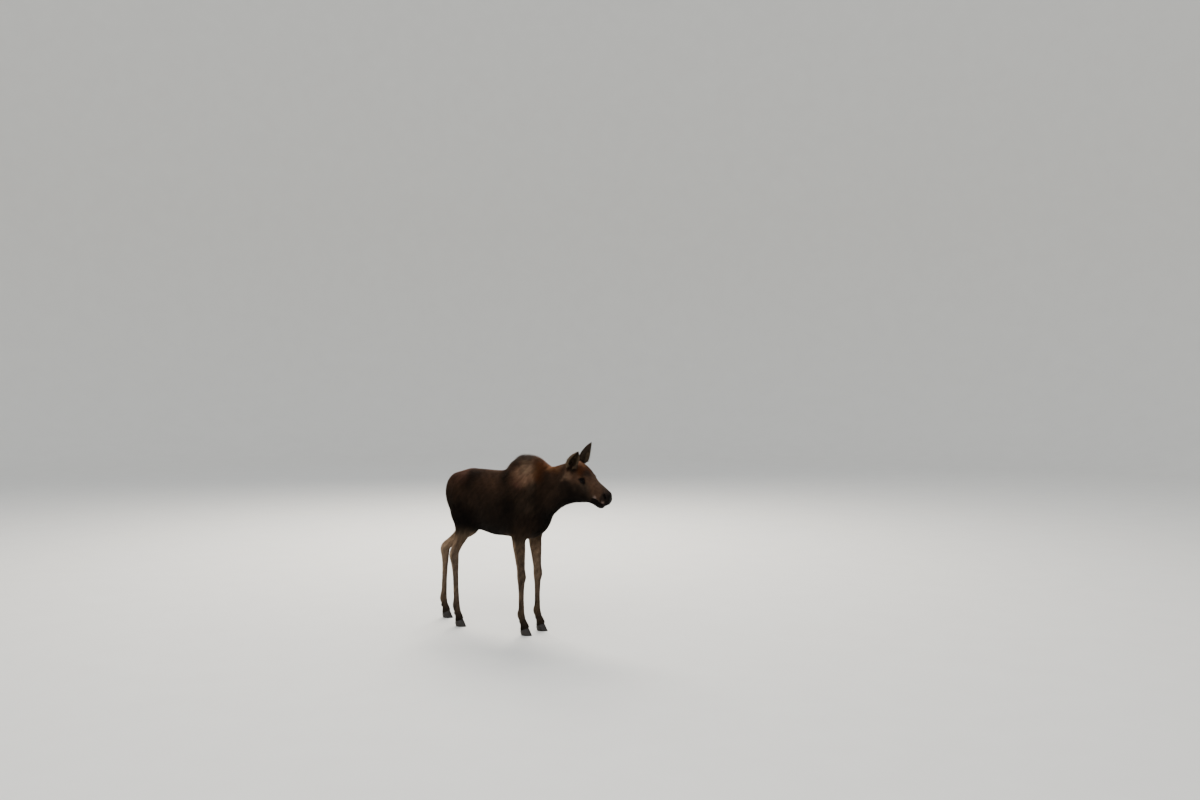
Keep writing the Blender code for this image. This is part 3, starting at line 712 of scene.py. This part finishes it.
# The lids lie on the ball. Inside their edge the hide dips behind the ball, so it stays whole.
best, away, past, height = on_eyes(place)
radius = np.maximum(norms(away), 1e-6)
steps = np.array((-0.0020, -0.0006, 0.0004, 0.0016, 0.0040, 0.0066, 0.0090, 0.0130))
over_upper = np.array((-0.0040, -0.0034, 0.0008, 0.0026, 0.0040, 0.0020, 0.0044, 0.0036))
over_lower = np.array((-0.0040, -0.0034, 0.0006, 0.0019, 0.0027, 0.0010, 0.0024, 0.0018))
target = RADIUS_OF_EYE + np.where(
    height > 0, np.interp(past, steps, over_upper), np.interp(past, steps, over_lower))
target = np.where(past < -0.0020, RADIUS_OF_EYE - 0.0040, target)
hold = faded(past, 0.0085, 0.0140) * (past < 0.02) * (best < 0.034)
place += away / radius[:, None] * ((target - radius) * hold)[:, None]
set_points(hide, place)
relaxed(hide, 1.5 * fine * (1 - (hold > 0.5)) + 0.6 * (hold > 0.5))


# The body's faces are thinned, as short fur hides them, and the face keeps all of its own. Then
# the hide is laid flat in pieces along its own shape, and carries the coat's colours.
BODY_TRIANGLES, MOST_TRIANGLES = 62000, 186000
place = points_of(hide)
on_body = (in_head(place)[:, 0] < -0.17) & (on_ears(place)[0] < 0.05)
hide.vertex_groups.new(name="body").add([int(i) for i in np.nonzero(on_body)[0]], 1.0, "REPLACE")
triangles = np.array([len(face.vertices) - 2 for face in hide.data.polygons])
owned = np.array([on_body[list(face.vertices)].all() for face in hide.data.polygons])
total, bodily = triangles.sum(), triangles[owned].sum()
applied(hide, "DECIMATE", ratio=float((total - bodily + BODY_TRIANGLES) / total),
        vertex_group="body", vertex_group_factor=1.0, use_collapse_triangulate=True)
hide.vertex_groups.clear()
now = len(hide.data.polygons)
if now > MOST_TRIANGLES:
    applied(hide, "DECIMATE", ratio=MOST_TRIANGLES / now, use_collapse_triangulate=True)
bpy.ops.object.shade_smooth()
hide.data.uv_layers.new(name="OFBake")
bpy.ops.object.mode_set(mode="EDIT")
bpy.ops.mesh.select_all(action="SELECT")
bpy.ops.uv.smart_project(angle_limit=math.radians(72), island_margin=0.002)
bpy.ops.object.mode_set(mode="OBJECT")

BARE_HIDE = "0f0b09"


def bareness(points):
    """How far the skin is bare: on the nose pad, in the nostrils and on the lids' edge."""
    x, y, z = in_head(points).T
    y = np.abs(y)
    pad = eased(x, 0.226, 0.236) * faded(y - 0.35 * np.clip(z + 0.03, 0, 0.05), 0.002, 0.009)
    pad = pad * eased(z, -0.046, -0.036)
    q = np.column_stack([x, y, z]) - (0.205, 0.043, 0.000)
    nostril = np.exp(-((q / (0.017, 0.014, 0.011)) ** 2).sum(axis=1))
    best, _, past, _ = on_eyes(points)
    lid = faded(past, 0.0010, 0.0032) * (best < 0.03)
    return np.clip(np.maximum.reduce([pad, np.clip(nostril * 1.7, 0, 1), lid]), 0, 1)


def coloured(piece, colour, bare=None):
    """Writes the coat's colour, and how bare the skin is, on the points of a piece."""
    rgba = np.ones((len(colour), 4), np.float32)
    rgba[:, :3] = np.clip(colour, 0, 1)
    layer = piece.data.color_attributes.new("coat_colour", "FLOAT_COLOR", "POINT")
    layer.data.foreach_set("color", rgba.ravel())
    if bare is not None:
        layer = piece.data.attributes.new("bare", "FLOAT", "POINT")
        layer.data.foreach_set("value", bare.astype(np.float32))


place = points_of(hide)
colour, length, depth, lie = coat_at(place)
bare = bareness(place)
coloured(hide, toward(colour * 0.80, linear(BARE_HIDE), bare), bare)


def output(tree, kind, name, settings=None, links=None):
    """A new node's output: its properties and sockets are set, then its sockets linked from others."""
    made = tree.nodes.new("ShaderNode" + kind)
    for key, value in (settings or {}).items():
        if isinstance(key, str) and hasattr(made, key):
            setattr(made, key, value)
        else:
            made.inputs[key].default_value = value
    for key, socket in (links or {}).items():
        tree.links.new(socket, made.inputs[key])
    return made.outputs[name]


def new_finish(name, settings):
    """A material with its shader set. Returns it, its tree, its shader and the places on the object."""
    made = bpy.data.materials.new(name)
    made.use_nodes = True
    tree = made.node_tree
    shader = tree.nodes["Principled BSDF"]
    for key, value in settings.items():
        shader.inputs[key].default_value = value
    return made, tree, shader, output(tree, "TexCoord", "Object")


def tone_ramp(tree, value, stops):
    """The tone for a value, between stops that each have a place and a colour."""
    colour = output(tree, "ValToRGB", "Color", {}, {"Fac": value})
    elements = colour.node.color_ramp.elements
    while len(elements) < len(stops):
        elements.new(0.5)
    for element, (at, tone) in zip(elements, stops):
        element.position = at
        element.color = (*linear(tone), 1.0)
    return colour


def strand_tint(tree, shader, pattern, least, most):
    """The coat's colour, darker and lighter from strand to strand."""
    tint = output(tree, "Attribute", "Color", {"attribute_name": "coat_colour"})
    factor = output(tree, "MapRange", "Result", {"To Min": least, "To Max": most}, {"Value": pattern})
    shaded = output(tree, "Mix", 2, {"data_type": "RGBA", "blend_type": "MULTIPLY", 0: 1.0},
                    {6: tint, 7: factor})
    tree.links.new(shaded, shader.inputs["Base Color"])


def relief(tree, shader, height, strength, distance):
    """Bump from a height, on the shader's normal."""
    bump = output(tree, "Bump", "Normal", {"Strength": strength, "Distance": distance}, {"Height": height})
    tree.links.new(bump, shader.inputs["Normal"])


# Haired hide: short under-fur that scatters light softly, in fine strands about 1.5 mm apart. Where
# it is bare it is black, moist leather with pebbles of 1.2 mm.
finish, tree, shader, where = new_finish("haired_hide", {"IOR": 1.5, "Specular IOR Level": 0.06})
bare_here = output(tree, "Attribute", "Fac", {"attribute_name": "bare"})
along = output(tree, "Mapping", "Vector", {"Scale": (160.0, 620.0, 420.0)}, {"Vector": where})
strands = output(tree, "TexNoise", "Fac", {"Scale": 1.0, "Detail": 3.0, "Roughness": 0.6},
                 {"Vector": along})
strand_tint(tree, shader, strands, 0.62, 1.35)
pebbles = output(tree, "TexVoronoi", "Distance", {"Scale": 820.0, "feature": "F1"}, {"Vector": where})
grain = output(tree, "Mix", 0, {"data_type": "FLOAT"}, {0: bare_here, 2: strands, 3: pebbles})
relief(tree, shader, grain, 0.55, 0.0007)
gloss = output(tree, "MapRange", "Result", {"To Min": 0.72, "To Max": 0.46}, {"Value": bare_here})
tree.links.new(gloss, shader.inputs["Roughness"])
hide.data.materials.clear()
hide.data.materials.append(finish)
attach(hide, "root")
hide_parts(*BODY_FLESH, *EAR_NAMES)


# The coat. Moose hair is coarse, hollow and nearly straight, and lies close along the body. Each
# lock is a thin closed spike of a few hairs, rooted in the hide and laid along the coat's lie, out
# to the outline. The hump's mane is the longest and stands half up.
corner_of = read(hide.data.polygons, "vertices", 3, np.int32)
hide_points, hide_normals = points_of(hide), normals_of(hide)
laid = read(hide.data.uv_layers["OFBake"].data, "uv", 2).reshape(-1, 3, 2)
first, second, third = (hide_points[corner_of[:, i]] for i in range(3))
areas = norms(np.cross(second - first, third - first)) / 2
centres = (first + second + third) / 3
centre_coat = coat_at(centres)


def width_of(length):
    """How wide a lock is at its root for its length."""
    return 0.0008 + 0.042 * length


HEAD_EDGE, NECK_EDGE, BELLY_EDGE = (-0.185, -0.165), (0.235, 0.265), (0.84, 0.90)
LONG_HAIR, EAR_WALL = (0.035, 0.042), 0.0029
ear_share, ear_along, ear_turn, ear_inward, _, ear_across, _ = on_ears(centres)
leg_share = on_legs(centres)[0]
head_x = in_head(centres)[:, 0]
head_share = eased(head_x, *HEAD_EDGE) * (1 - ear_share)
long_share = eased(centre_coat[1], *LONG_HAIR) * (1 - head_share)
on_neck = eased(centres[:, 0], *NECK_EDGE)
neck_share = on_neck * (1 - head_share) * (1 - long_share) * (1 - ear_share)
trunk_share = (1 - on_neck) * (1 - leg_share) * (1 - long_share)
low_share = faded(centres[:, 2], *BELLY_EDGE) * trunk_share
high_share = trunk_share - low_share
clear = (1 - bareness(centres)) > 0.6
gazing, _, past_lid, _ = on_eyes(centres)
clear &= ~((past_lid < 0.0016) & (gazing < 0.03))
clear &= at_feet(centres)[0] > 0.0005
crowding = clear / (centre_coat[1] * width_of(centre_coat[1]))


def sown(share, count, seed):
    """Roots for so many locks over the hide, closer where the hair is shorter."""
    chance = np.random.default_rng(seed)
    total = np.cumsum(areas * share * crowding)
    picks = (np.arange(count) + chance.uniform(size=count)) * total[-1] / count
    chosen = np.minimum(np.searchsorted(total, picks), len(corner_of) - 1)
    a, b = chance.uniform(size=(2, count))
    over = a + b > 1
    a[over], b[over] = 1 - a[over], 1 - b[over]
    shares = np.stack([1 - a - b, a, b], axis=1)[:, :, None]
    corners = corner_of[chosen]
    root = (hide_points[corners] * shares).sum(axis=1)
    up = (hide_normals[corners] * shares).sum(axis=1)
    return root, up / norms(up)[:, None], (laid[chosen] * shares).sum(axis=1), chance


def laid_flat(lie, up):
    """The lie, brought square to the way up and made one long."""
    lie = lie - up * (lie * up).sum(axis=1)[:, None]
    return lie / np.maximum(norms(lie), 1e-6)[:, None]


def turned(vectors, axes, angles):
    """Each vector, square to its axis, turned about it."""
    c, s = np.cos(angles)[:, None], np.sin(angles)[:, None]
    return vectors * c + np.cross(axes, vectors) * s


ROOT_DEPTH, PATCH = 0.0006, 0.0015
PATCH_AT = np.array(((-1, -1), (1, -1), (0, -0.4), (-0.7, 0.1), (0.7, 0.1), (0, 0.3), (0, 1))) * PATCH


def locks(name, root, up, lie, length, width, rise, bend, colour, flat, laid_at, tip_light):
    """One mesh of locks. A bend of 0 gives straight ones. Each is closed, and rooted in the hide."""
    across = np.cross(up, lie)
    sink = root - up * ROOT_DEPTH
    half, thick = (width / 2)[:, None], (width * flat)[:, None]

    def along_at(angle):
        return lie * np.cos(angle)[:, None] + up * np.sin(angle)[:, None]

    start = along_at(rise + bend)
    lift = np.cross(start, across)
    rings = [sink + across * half, sink - across * half, sink + lift * thick]
    if bend:
        middle = sink + start * (0.46 * length)[:, None]
        rings += [middle + across * half * 0.9, middle - across * half * 0.9, middle + lift * thick * 0.9]
        rings.append(middle + along_at(rise - bend) * (0.54 * length)[:, None])
        faces = ((0, 1, 2), (0, 3, 4), (0, 4, 1), (1, 4, 5), (1, 5, 2), (2, 5, 3), (2, 3, 0),
                 (3, 6, 4), (4, 6, 5), (5, 6, 3))
        spots, tones = (0, 1, 2, 3, 4, 5, 6), (0.62, 0.62, 0.62, 0.95, 0.95, 1.0, tip_light)
    else:
        rings.append(sink + start * length[:, None])
        faces = ((0, 1, 2), (0, 3, 1), (1, 3, 2), (2, 3, 0))
        spots, tones = (0, 1, 2, 6), (0.66, 0.66, 0.72, tip_light)
    points = np.stack(rings, axis=1)
    count, size = points.shape[:2]
    cornered = ((np.arange(count) * size)[:, None, None] + np.array(faces)[None]).reshape(-1)
    mesh = bpy.data.meshes.new(name)
    mesh.vertices.add(count * size)
    mesh.vertices.foreach_set("co", points.astype(np.float32).ravel())
    mesh.loops.add(len(cornered))
    mesh.loops.foreach_set("vertex_index", cornered.astype(np.int32))
    mesh.polygons.add(len(cornered) // 3)
    mesh.polygons.foreach_set("loop_start", np.arange(0, len(cornered), 3, dtype=np.int32))
    mesh.update(calc_edges=True)
    mesh.shade_smooth()
    patch = laid_at[:, None, :] + PATCH_AT[list(spots)][None]
    uv = np.clip(patch.reshape(-1, 2)[cornered], 0.0, 1.0)
    mesh.uv_layers.new(name="OFBake").data.foreach_set("uv", uv.astype(np.float32).ravel())
    made = bpy.data.objects.new(name, mesh)
    bpy.context.scene.collection.objects.link(made)
    coloured(made, (colour[:, None, :] * np.array(tones)[None, :, None]).reshape(-1, 3))
    mesh.materials.append(coat_finish)
    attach(made, "root")


# Guard hair: dry hollow keratin, nearly matt. Strands differ a little from hair to hair, and the
# tips bleach lighter than the roots.
coat_finish, tree, shader, where = new_finish("guard_hair", {
    "Roughness": 0.65, "IOR": 1.55, "Specular IOR Level": 0.05})
streaks = output(tree, "TexNoise", "Fac", {"Scale": 260.0, "Detail": 2.0}, {"Vector": where})
strand_tint(tree, shader, streaks, 0.80, 1.20)


def grown_coat(name, share, count, seed, bend=0.0, flat=0.40, tip_light=1.18,
               stand=(0.45, 1.0), stray=0.13, fine=1.0):
    """A piece of coat: as many locks as stated, over the part of the hide that the share gives."""
    root, up, laid_at, chance = sown(share, count, seed)
    colour, length, depth, lie = coat_at(root)
    lie = turned(laid_flat(lie, up), up, chance.normal(0, stray, count) + 0.16 * wandering(root, 1))
    length = length * chance.uniform(0.72, 1.12, count)
    rise = np.arcsin(np.clip(depth * chance.uniform(*stand, count) / length, 0.03, 0.85))
    width = width_of(length) * chance.uniform(0.75, 1.25, count) * fine
    # Each lock's brightness differs at random: partly its own tone, partly painted glints on the hair.
    colour = colour * np.clip(chance.normal(1.0, 0.17, (count, 1)), 0.4, 1.7)
    colour = colour * chance.normal(1.0, 0.02, (count, 3))
    locks(name, root, up, lie, length, width, rise, bend, colour, flat, laid_at, tip_light)


right, left = centres[:, 1] < MIDLINE, centres[:, 1] >= MIDLINE
grown_coat("coat_trunk_right", high_share * right, 48000, 21)
grown_coat("coat_trunk_left", high_share * left, 48000, 22)
grown_coat("coat_underside", low_share, 36000, 23)
grown_coat("coat_neck", neck_share * (1 - leg_share), 42000, 24)
grown_coat("coat_mane", long_share * (1 - leg_share), 16000, 25, bend=0.16, tip_light=1.45,
           stand=(0.55, 1.95), stray=0.28, fine=0.58)
grown_coat("coat_legs", leg_share, 44000, 26)
grown_coat("coat_head", head_share * (head_x < 0.03), 46000, 27)
grown_coat("coat_muzzle", head_share * (head_x >= 0.03), 40000, 28, flat=0.3)
ear_back = ear_share * (ear_inward < EAR_WALL)
grown_coat("coat_ear_backs", ear_back, 12000, 29)


# The hair in the ears. Long pale hair grows from the cup's hollow face, most of it near the rear
# edge, and lies across the hollow towards the tip.
EAR_LOCKS = 7000
share = ear_share * (ear_inward >= EAR_WALL)
rearward = np.where(ear_turn * ear_across[:, 0] < 0, 1.0, 0.35)
share = share * (0.12 + rearward * eased(np.abs(ear_turn), 0.30, 0.75))
share = share * eased(ear_along, 0.16, 0.28) * (1 - 0.6 * eased(ear_along, 0.6, 0.95))
root, up, laid_at, chance = sown(share, EAR_LOCKS, 30)
_, along, turn, _, tipward, across, opening = on_ears(root)
lie = tipward * 1.0 - across * (np.sign(turn) * 0.28)[:, None] + opening * 0.10
lie = turned(laid_flat(lie, up), up, chance.normal(0, 0.14, EAR_LOCKS))
length = chance.uniform(0.018, 0.038, EAR_LOCKS) * (1.15 - 0.75 * along)
colour = linear(EAR_TUFT) * chance.uniform(0.30, 1.1, (EAR_LOCKS, 1))
pale = eased(np.abs(turn), 0.35, 0.75) * np.where(turn * across[:, 0] < 0, 0.75, 0.25)
rise = chance.uniform(0.10, 0.38, EAR_LOCKS)
locks("ear_hair", root, up, lie, length, np.full(EAR_LOCKS, 0.0010), rise, 0.16,
      colour * (0.25 + pale)[:, None], 0.4, laid_at, 1.15)


# Lashes and whiskers. The upper lids carry long stiff lashes that shade the eyes, the lower lids
# short ones, and sparse dark bristles stand out of the lips and chin.
chance = np.random.default_rng(31)
long = EYE_OPENING[0]
grown = []
for centre, fore, up, outward in EYE_FRAMES:
    for count, side, reach, droop in ((110, 1, 0.0165, 0.22), (40, -1, 0.0075, 0.50)):
        u = chance.uniform(-0.80, 0.94, count) * long
        level, upper, lower = lid_edges(u)
        v = level + side * (upper if side > 0 else lower)
        v = v + side * chance.uniform(0.0002, 0.0012, count)
        w = np.sqrt((RADIUS_OF_EYE + 0.0012) ** 2 - u ** 2 - v ** 2)
        root = centre + np.outer(u, fore) + np.outer(v, up) + np.outer(w, outward)
        way = outward * 0.80 + np.outer(u / long * 0.45, fore) - up * droop + chance.normal(
            0, 0.07, (count, 3))
        grown.append((root, way, np.tile(up, (count, 1)), reach * chance.uniform(0.70, 1.1, count)))
root, lie, up, length = (np.concatenate(some) for some in zip(*grown))
lie /= norms(lie)[:, None]
count = len(root)
nearest = [int(np.argmin(((centres - spot) ** 2).sum(axis=1))) for spot in root]
locks("eyelashes", root - lie * 0.0012, laid_flat(up, lie), lie, length, np.full(count, 0.00055),
      np.zeros(count), -0.20, np.tile(linear("120c09"), (count, 1)), 0.6,
      laid[nearest].mean(axis=1), 1.1)

BRISTLES = 170
spot = in_head(centres)
share = eased(spot[:, 0], 0.150, 0.175) * faded(spot[:, 2], -0.030, -0.015)
share = share * (np.abs(spot[:, 1]) > 0.012) * (spot[:, 0] < 0.228)
root, up, laid_at, chance = sown(share, BRISTLES, 32)
lie = turned(laid_flat(coat_at(root)[3], up), up, chance.normal(0, 0.5, BRISTLES))
colour = linear(TONES["seal"]) * chance.uniform(0.5, 2.6, (BRISTLES, 1))
length = chance.uniform(0.016, 0.034, BRISTLES)
locks("whiskers", root, up, lie, length, np.full(BRISTLES, 0.0005), chance.uniform(0.55, 1.05, BRISTLES),
      0.22, colour, 0.6, laid_at, 1.2)


# The eyes. Each is a dark brown ball with a wide oval pupil that lies level, under a clear wet
# cornea that bulges a little. The hide's lids hold it.
eye_finish, tree, shader, where = new_finish("wet_eye", {
    "Roughness": 0.05, "IOR": 1.38, "Specular IOR Level": 0.13})
# One unit is 2.5 mm across the eye, so the iris ends near 4.7.
centred = output(tree, "Mapping", "Vector", {"Location": (-10.0, -10.0, 0.0), "Scale": (20.0, 20.0, 0.0)},
                 {"Vector": where.node.outputs["UV"]})
distance = output(tree, "VectorMath", "Value", {"operation": "LENGTH"}, {0: centred})
fibres = output(tree, "TexNoise", "Fac", {"Scale": 2.5, "Detail": 4.0}, {"Vector": centred})
rings = output(tree, "Math", "Value", {"operation": "MULTIPLY_ADD", 1: 0.9}, {0: fibres, 2: distance})
outward_share = output(tree, "MapRange", "Result", {"From Max": 8.0}, {"Value": rings})
bands = tone_ramp(tree, outward_share, (
    (0.20, "150c07"), (0.48, "0f0805"), (0.60, "070403"), (0.72, "0b0705"), (1.0, "1a130f")))
wide = output(tree, "Mapping", "Vector", {"Scale": (0.29, 0.46, 1.0)}, {"Vector": centred})
oval = output(tree, "VectorMath", "Value", {"operation": "LENGTH"}, {0: wide})
pupil = output(tree, "MapRange", "Result", {"From Min": 0.9, "From Max": 1.1}, {"Value": oval})
eye_colour = output(tree, "Mix", 2, {"data_type": "RGBA", 6: (0.002, 0.002, 0.002, 1)},
                    {0: pupil, 7: bands})
tree.links.new(eye_colour, shader.inputs["Base Color"])
for (centre, fore, up, outward), eye_name in zip(EYE_FRAMES, EYE_NAMES):
    bpy.ops.mesh.primitive_uv_sphere_add(segments=72, ring_count=48, radius=RADIUS_OF_EYE)
    ball = bpy.context.object
    ball.name = eye_name + "_ball"
    points = points_of(ball)
    tilt = np.arccos(np.clip(points[:, 2] / RADIUS_OF_EYE, -1, 1))
    points *= (1 + 0.045 * faded(tilt, 0.15, 0.62))[:, None]
    set_points(ball, points @ np.array((fore, np.cross(outward, fore), outward)) + centre)
    corners = read(ball.data.loops, "vertex_index", 1, np.int32).ravel()
    flat_place = points[corners][:, :2] / 0.05 + 0.5
    ball.data.uv_layers[0].data.foreach_set("uv", flat_place.astype(np.float32).ravel())
    bpy.ops.object.shade_smooth()
    ball.data.materials.clear()
    ball.data.materials.append(eye_finish)
    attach(ball, "root")
    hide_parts(eye_name)


# The hooves. Each foot stands on two claws of black horn that grow down from the coronet in
# faint rings, with two small dewclaws behind the pastern.
DEWCLAW_NAMES = [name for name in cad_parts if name.startswith("dewclaw_")]
horn, tree, shader, where = new_finish("hoof_horn", {
    "Roughness": 0.48, "IOR": 1.54, "Specular IOR Level": 0.3})
tilted = output(tree, "Mapping", "Vector", {"Rotation": (0.0, math.radians(-14), 0.0)}, {"Vector": where})
growth = output(tree, "TexWave", "Fac", {
    "bands_direction": "Z", "Scale": 48.0, "Distortion": 5.0, "Detail": 3.0, "Detail Scale": 1.2},
    {"Vector": tilted})
grain = output(tree, "TexNoise", "Fac", {"Scale": 300.0, "Detail": 4.0}, {"Vector": where})
mixed = output(tree, "Mix", 0, {"data_type": "FLOAT", 0: 0.65}, {2: growth, 3: grain})
tree.links.new(tone_ramp(tree, mixed, ((0.0, "0d0a08"), (1.0, "2b231d"))), shader.inputs["Base Color"])
relief(tree, shader, mixed, 0.35, 0.0005)
MOST_HORN_FACES, RING_GAP = 20000, 0.0062
for group, name, voxel, turns in (
        (CLAW_NAMES, "claws", 0.0014, 5), (DEWCLAW_NAMES, "dewclaws", 0.0012, 3)):
    piece = cast(group, name, 0.0)
    points = points_of(piece)
    over, ahead = at_feet(points)
    if group is CLAW_NAMES:
        points[:, 2] -= np.maximum(over, 0.0) * (over < 0.5)
        points[:, 0] += 0.009 * (faded(points[:, 2], 0.0, HEEL_LINE) * faded(ahead, 0.0, 0.034))
    else:
        points[:, 0] -= 0.0030
    set_points(piece, points)
    applied(piece, "REMESH", mode="VOXEL", voxel_size=voxel)
    relaxed(piece, turns)
    points = points_of(piece)
    rings = np.sin((points[:, 2] + 0.25 * points[:, 0]) * 2 * np.pi / RING_GAP)
    move = 0.00014 * rings * eased(points[:, 2], 0.004, 0.012)
    if group is CLAW_NAMES:
        move -= 0.0028 * eased(at_feet(points)[0], -0.010, 0.0)
    points += normals_of(piece) * move[:, None]
    points[:, 2] = np.maximum(points[:, 2], 0.0)
    set_points(piece, points)
    if len(piece.data.polygons) > MOST_HORN_FACES:
        applied(piece, "DECIMATE", ratio=MOST_HORN_FACES / len(piece.data.polygons))
    bpy.ops.object.shade_smooth_by_angle(angle=math.radians(50))
    piece.data.materials.clear()
    piece.data.materials.append(horn)
    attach(piece, "root")
    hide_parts(*group)


# The hall. A wide pale floor turns up into a pale wall all round, under soft light from above
# and a brighter window high behind the calf's tail, as under a cloudy sky.
FLOOR_RADIUS, COVE_OUT, COVE_UP, WALL_UP, COVE_STEPS = 16.0, 4.0, 5.4, 7.4, 8
bpy.ops.mesh.primitive_circle_add(vertices=96, radius=FLOOR_RADIUS, fill_type="NGON")
hall = bpy.context.object
hall.name = "hall_floor"
bpy.ops.object.mode_set(mode="EDIT")
bpy.ops.mesh.select_all(action="SELECT")
bpy.ops.mesh.select_mode(type="EDGE")
bpy.ops.mesh.region_to_loop()
for step in range(1, COVE_STEPS + 1):
    last, turn = (math.radians(90 * s / COVE_STEPS) for s in (step - 1, step))
    bpy.ops.mesh.extrude_edges_move(TRANSFORM_OT_translate={"value": (0, 0, 0)})
    grow = (FLOOR_RADIUS + COVE_OUT * math.sin(turn)) / (FLOOR_RADIUS + COVE_OUT * math.sin(last))
    bpy.ops.transform.resize(value=(grow, grow, 1.0))
    bpy.ops.transform.translate(value=(0, 0, COVE_UP * (math.cos(last) - math.cos(turn))))
bpy.ops.mesh.extrude_edges_move(TRANSFORM_OT_translate={"value": (0, 0, WALL_UP)})
bpy.ops.mesh.select_all(action="SELECT")
bpy.ops.mesh.normals_make_consistent(inside=True)
bpy.ops.object.mode_set(mode="OBJECT")
bpy.ops.object.shade_smooth()
plaster, tree, shader, where = new_finish("pale_plaster", {"Roughness": 0.9})
mottle = output(tree, "TexNoise", "Fac", {"Scale": 3.0, "Detail": 5.0}, {"Vector": where})
tree.links.new(tone_ramp(tree, mottle, ((0.0, "dcd8d0"), (1.0, "e2dfd7"))), shader.inputs["Base Color"])
hall.data.materials.append(plaster)

world = bpy.data.worlds.new("cloudy_light")
bpy.context.scene.world = world
world.use_nodes = True
sky = world.node_tree.nodes["Background"].inputs
sky["Color"].default_value, sky["Strength"].default_value = (0.80, 0.86, 0.95, 1.0), 1.15
for name, place, size, power, tone in (
        ("sky_window", (-3.5, 4.5, 6.5), 5.0, 1150.0, (1.0, 0.96, 0.90)),
        ("hall_light", (2.5, -5.0, 6.0), 6.0, 220.0, (0.94, 0.97, 1.0))):
    bpy.ops.object.light_add(type="AREA", location=place)
    lamp = bpy.context.object
    lamp.name = name
    lamp.data.shape = "DISK"
    lamp.data.size = size
    lamp.data.energy = power
    lamp.data.color = tone
    lamp.rotation_euler = (Vector(place) - Vector((0, 0, 0.9))).to_track_quat("Z", "Y").to_euler()
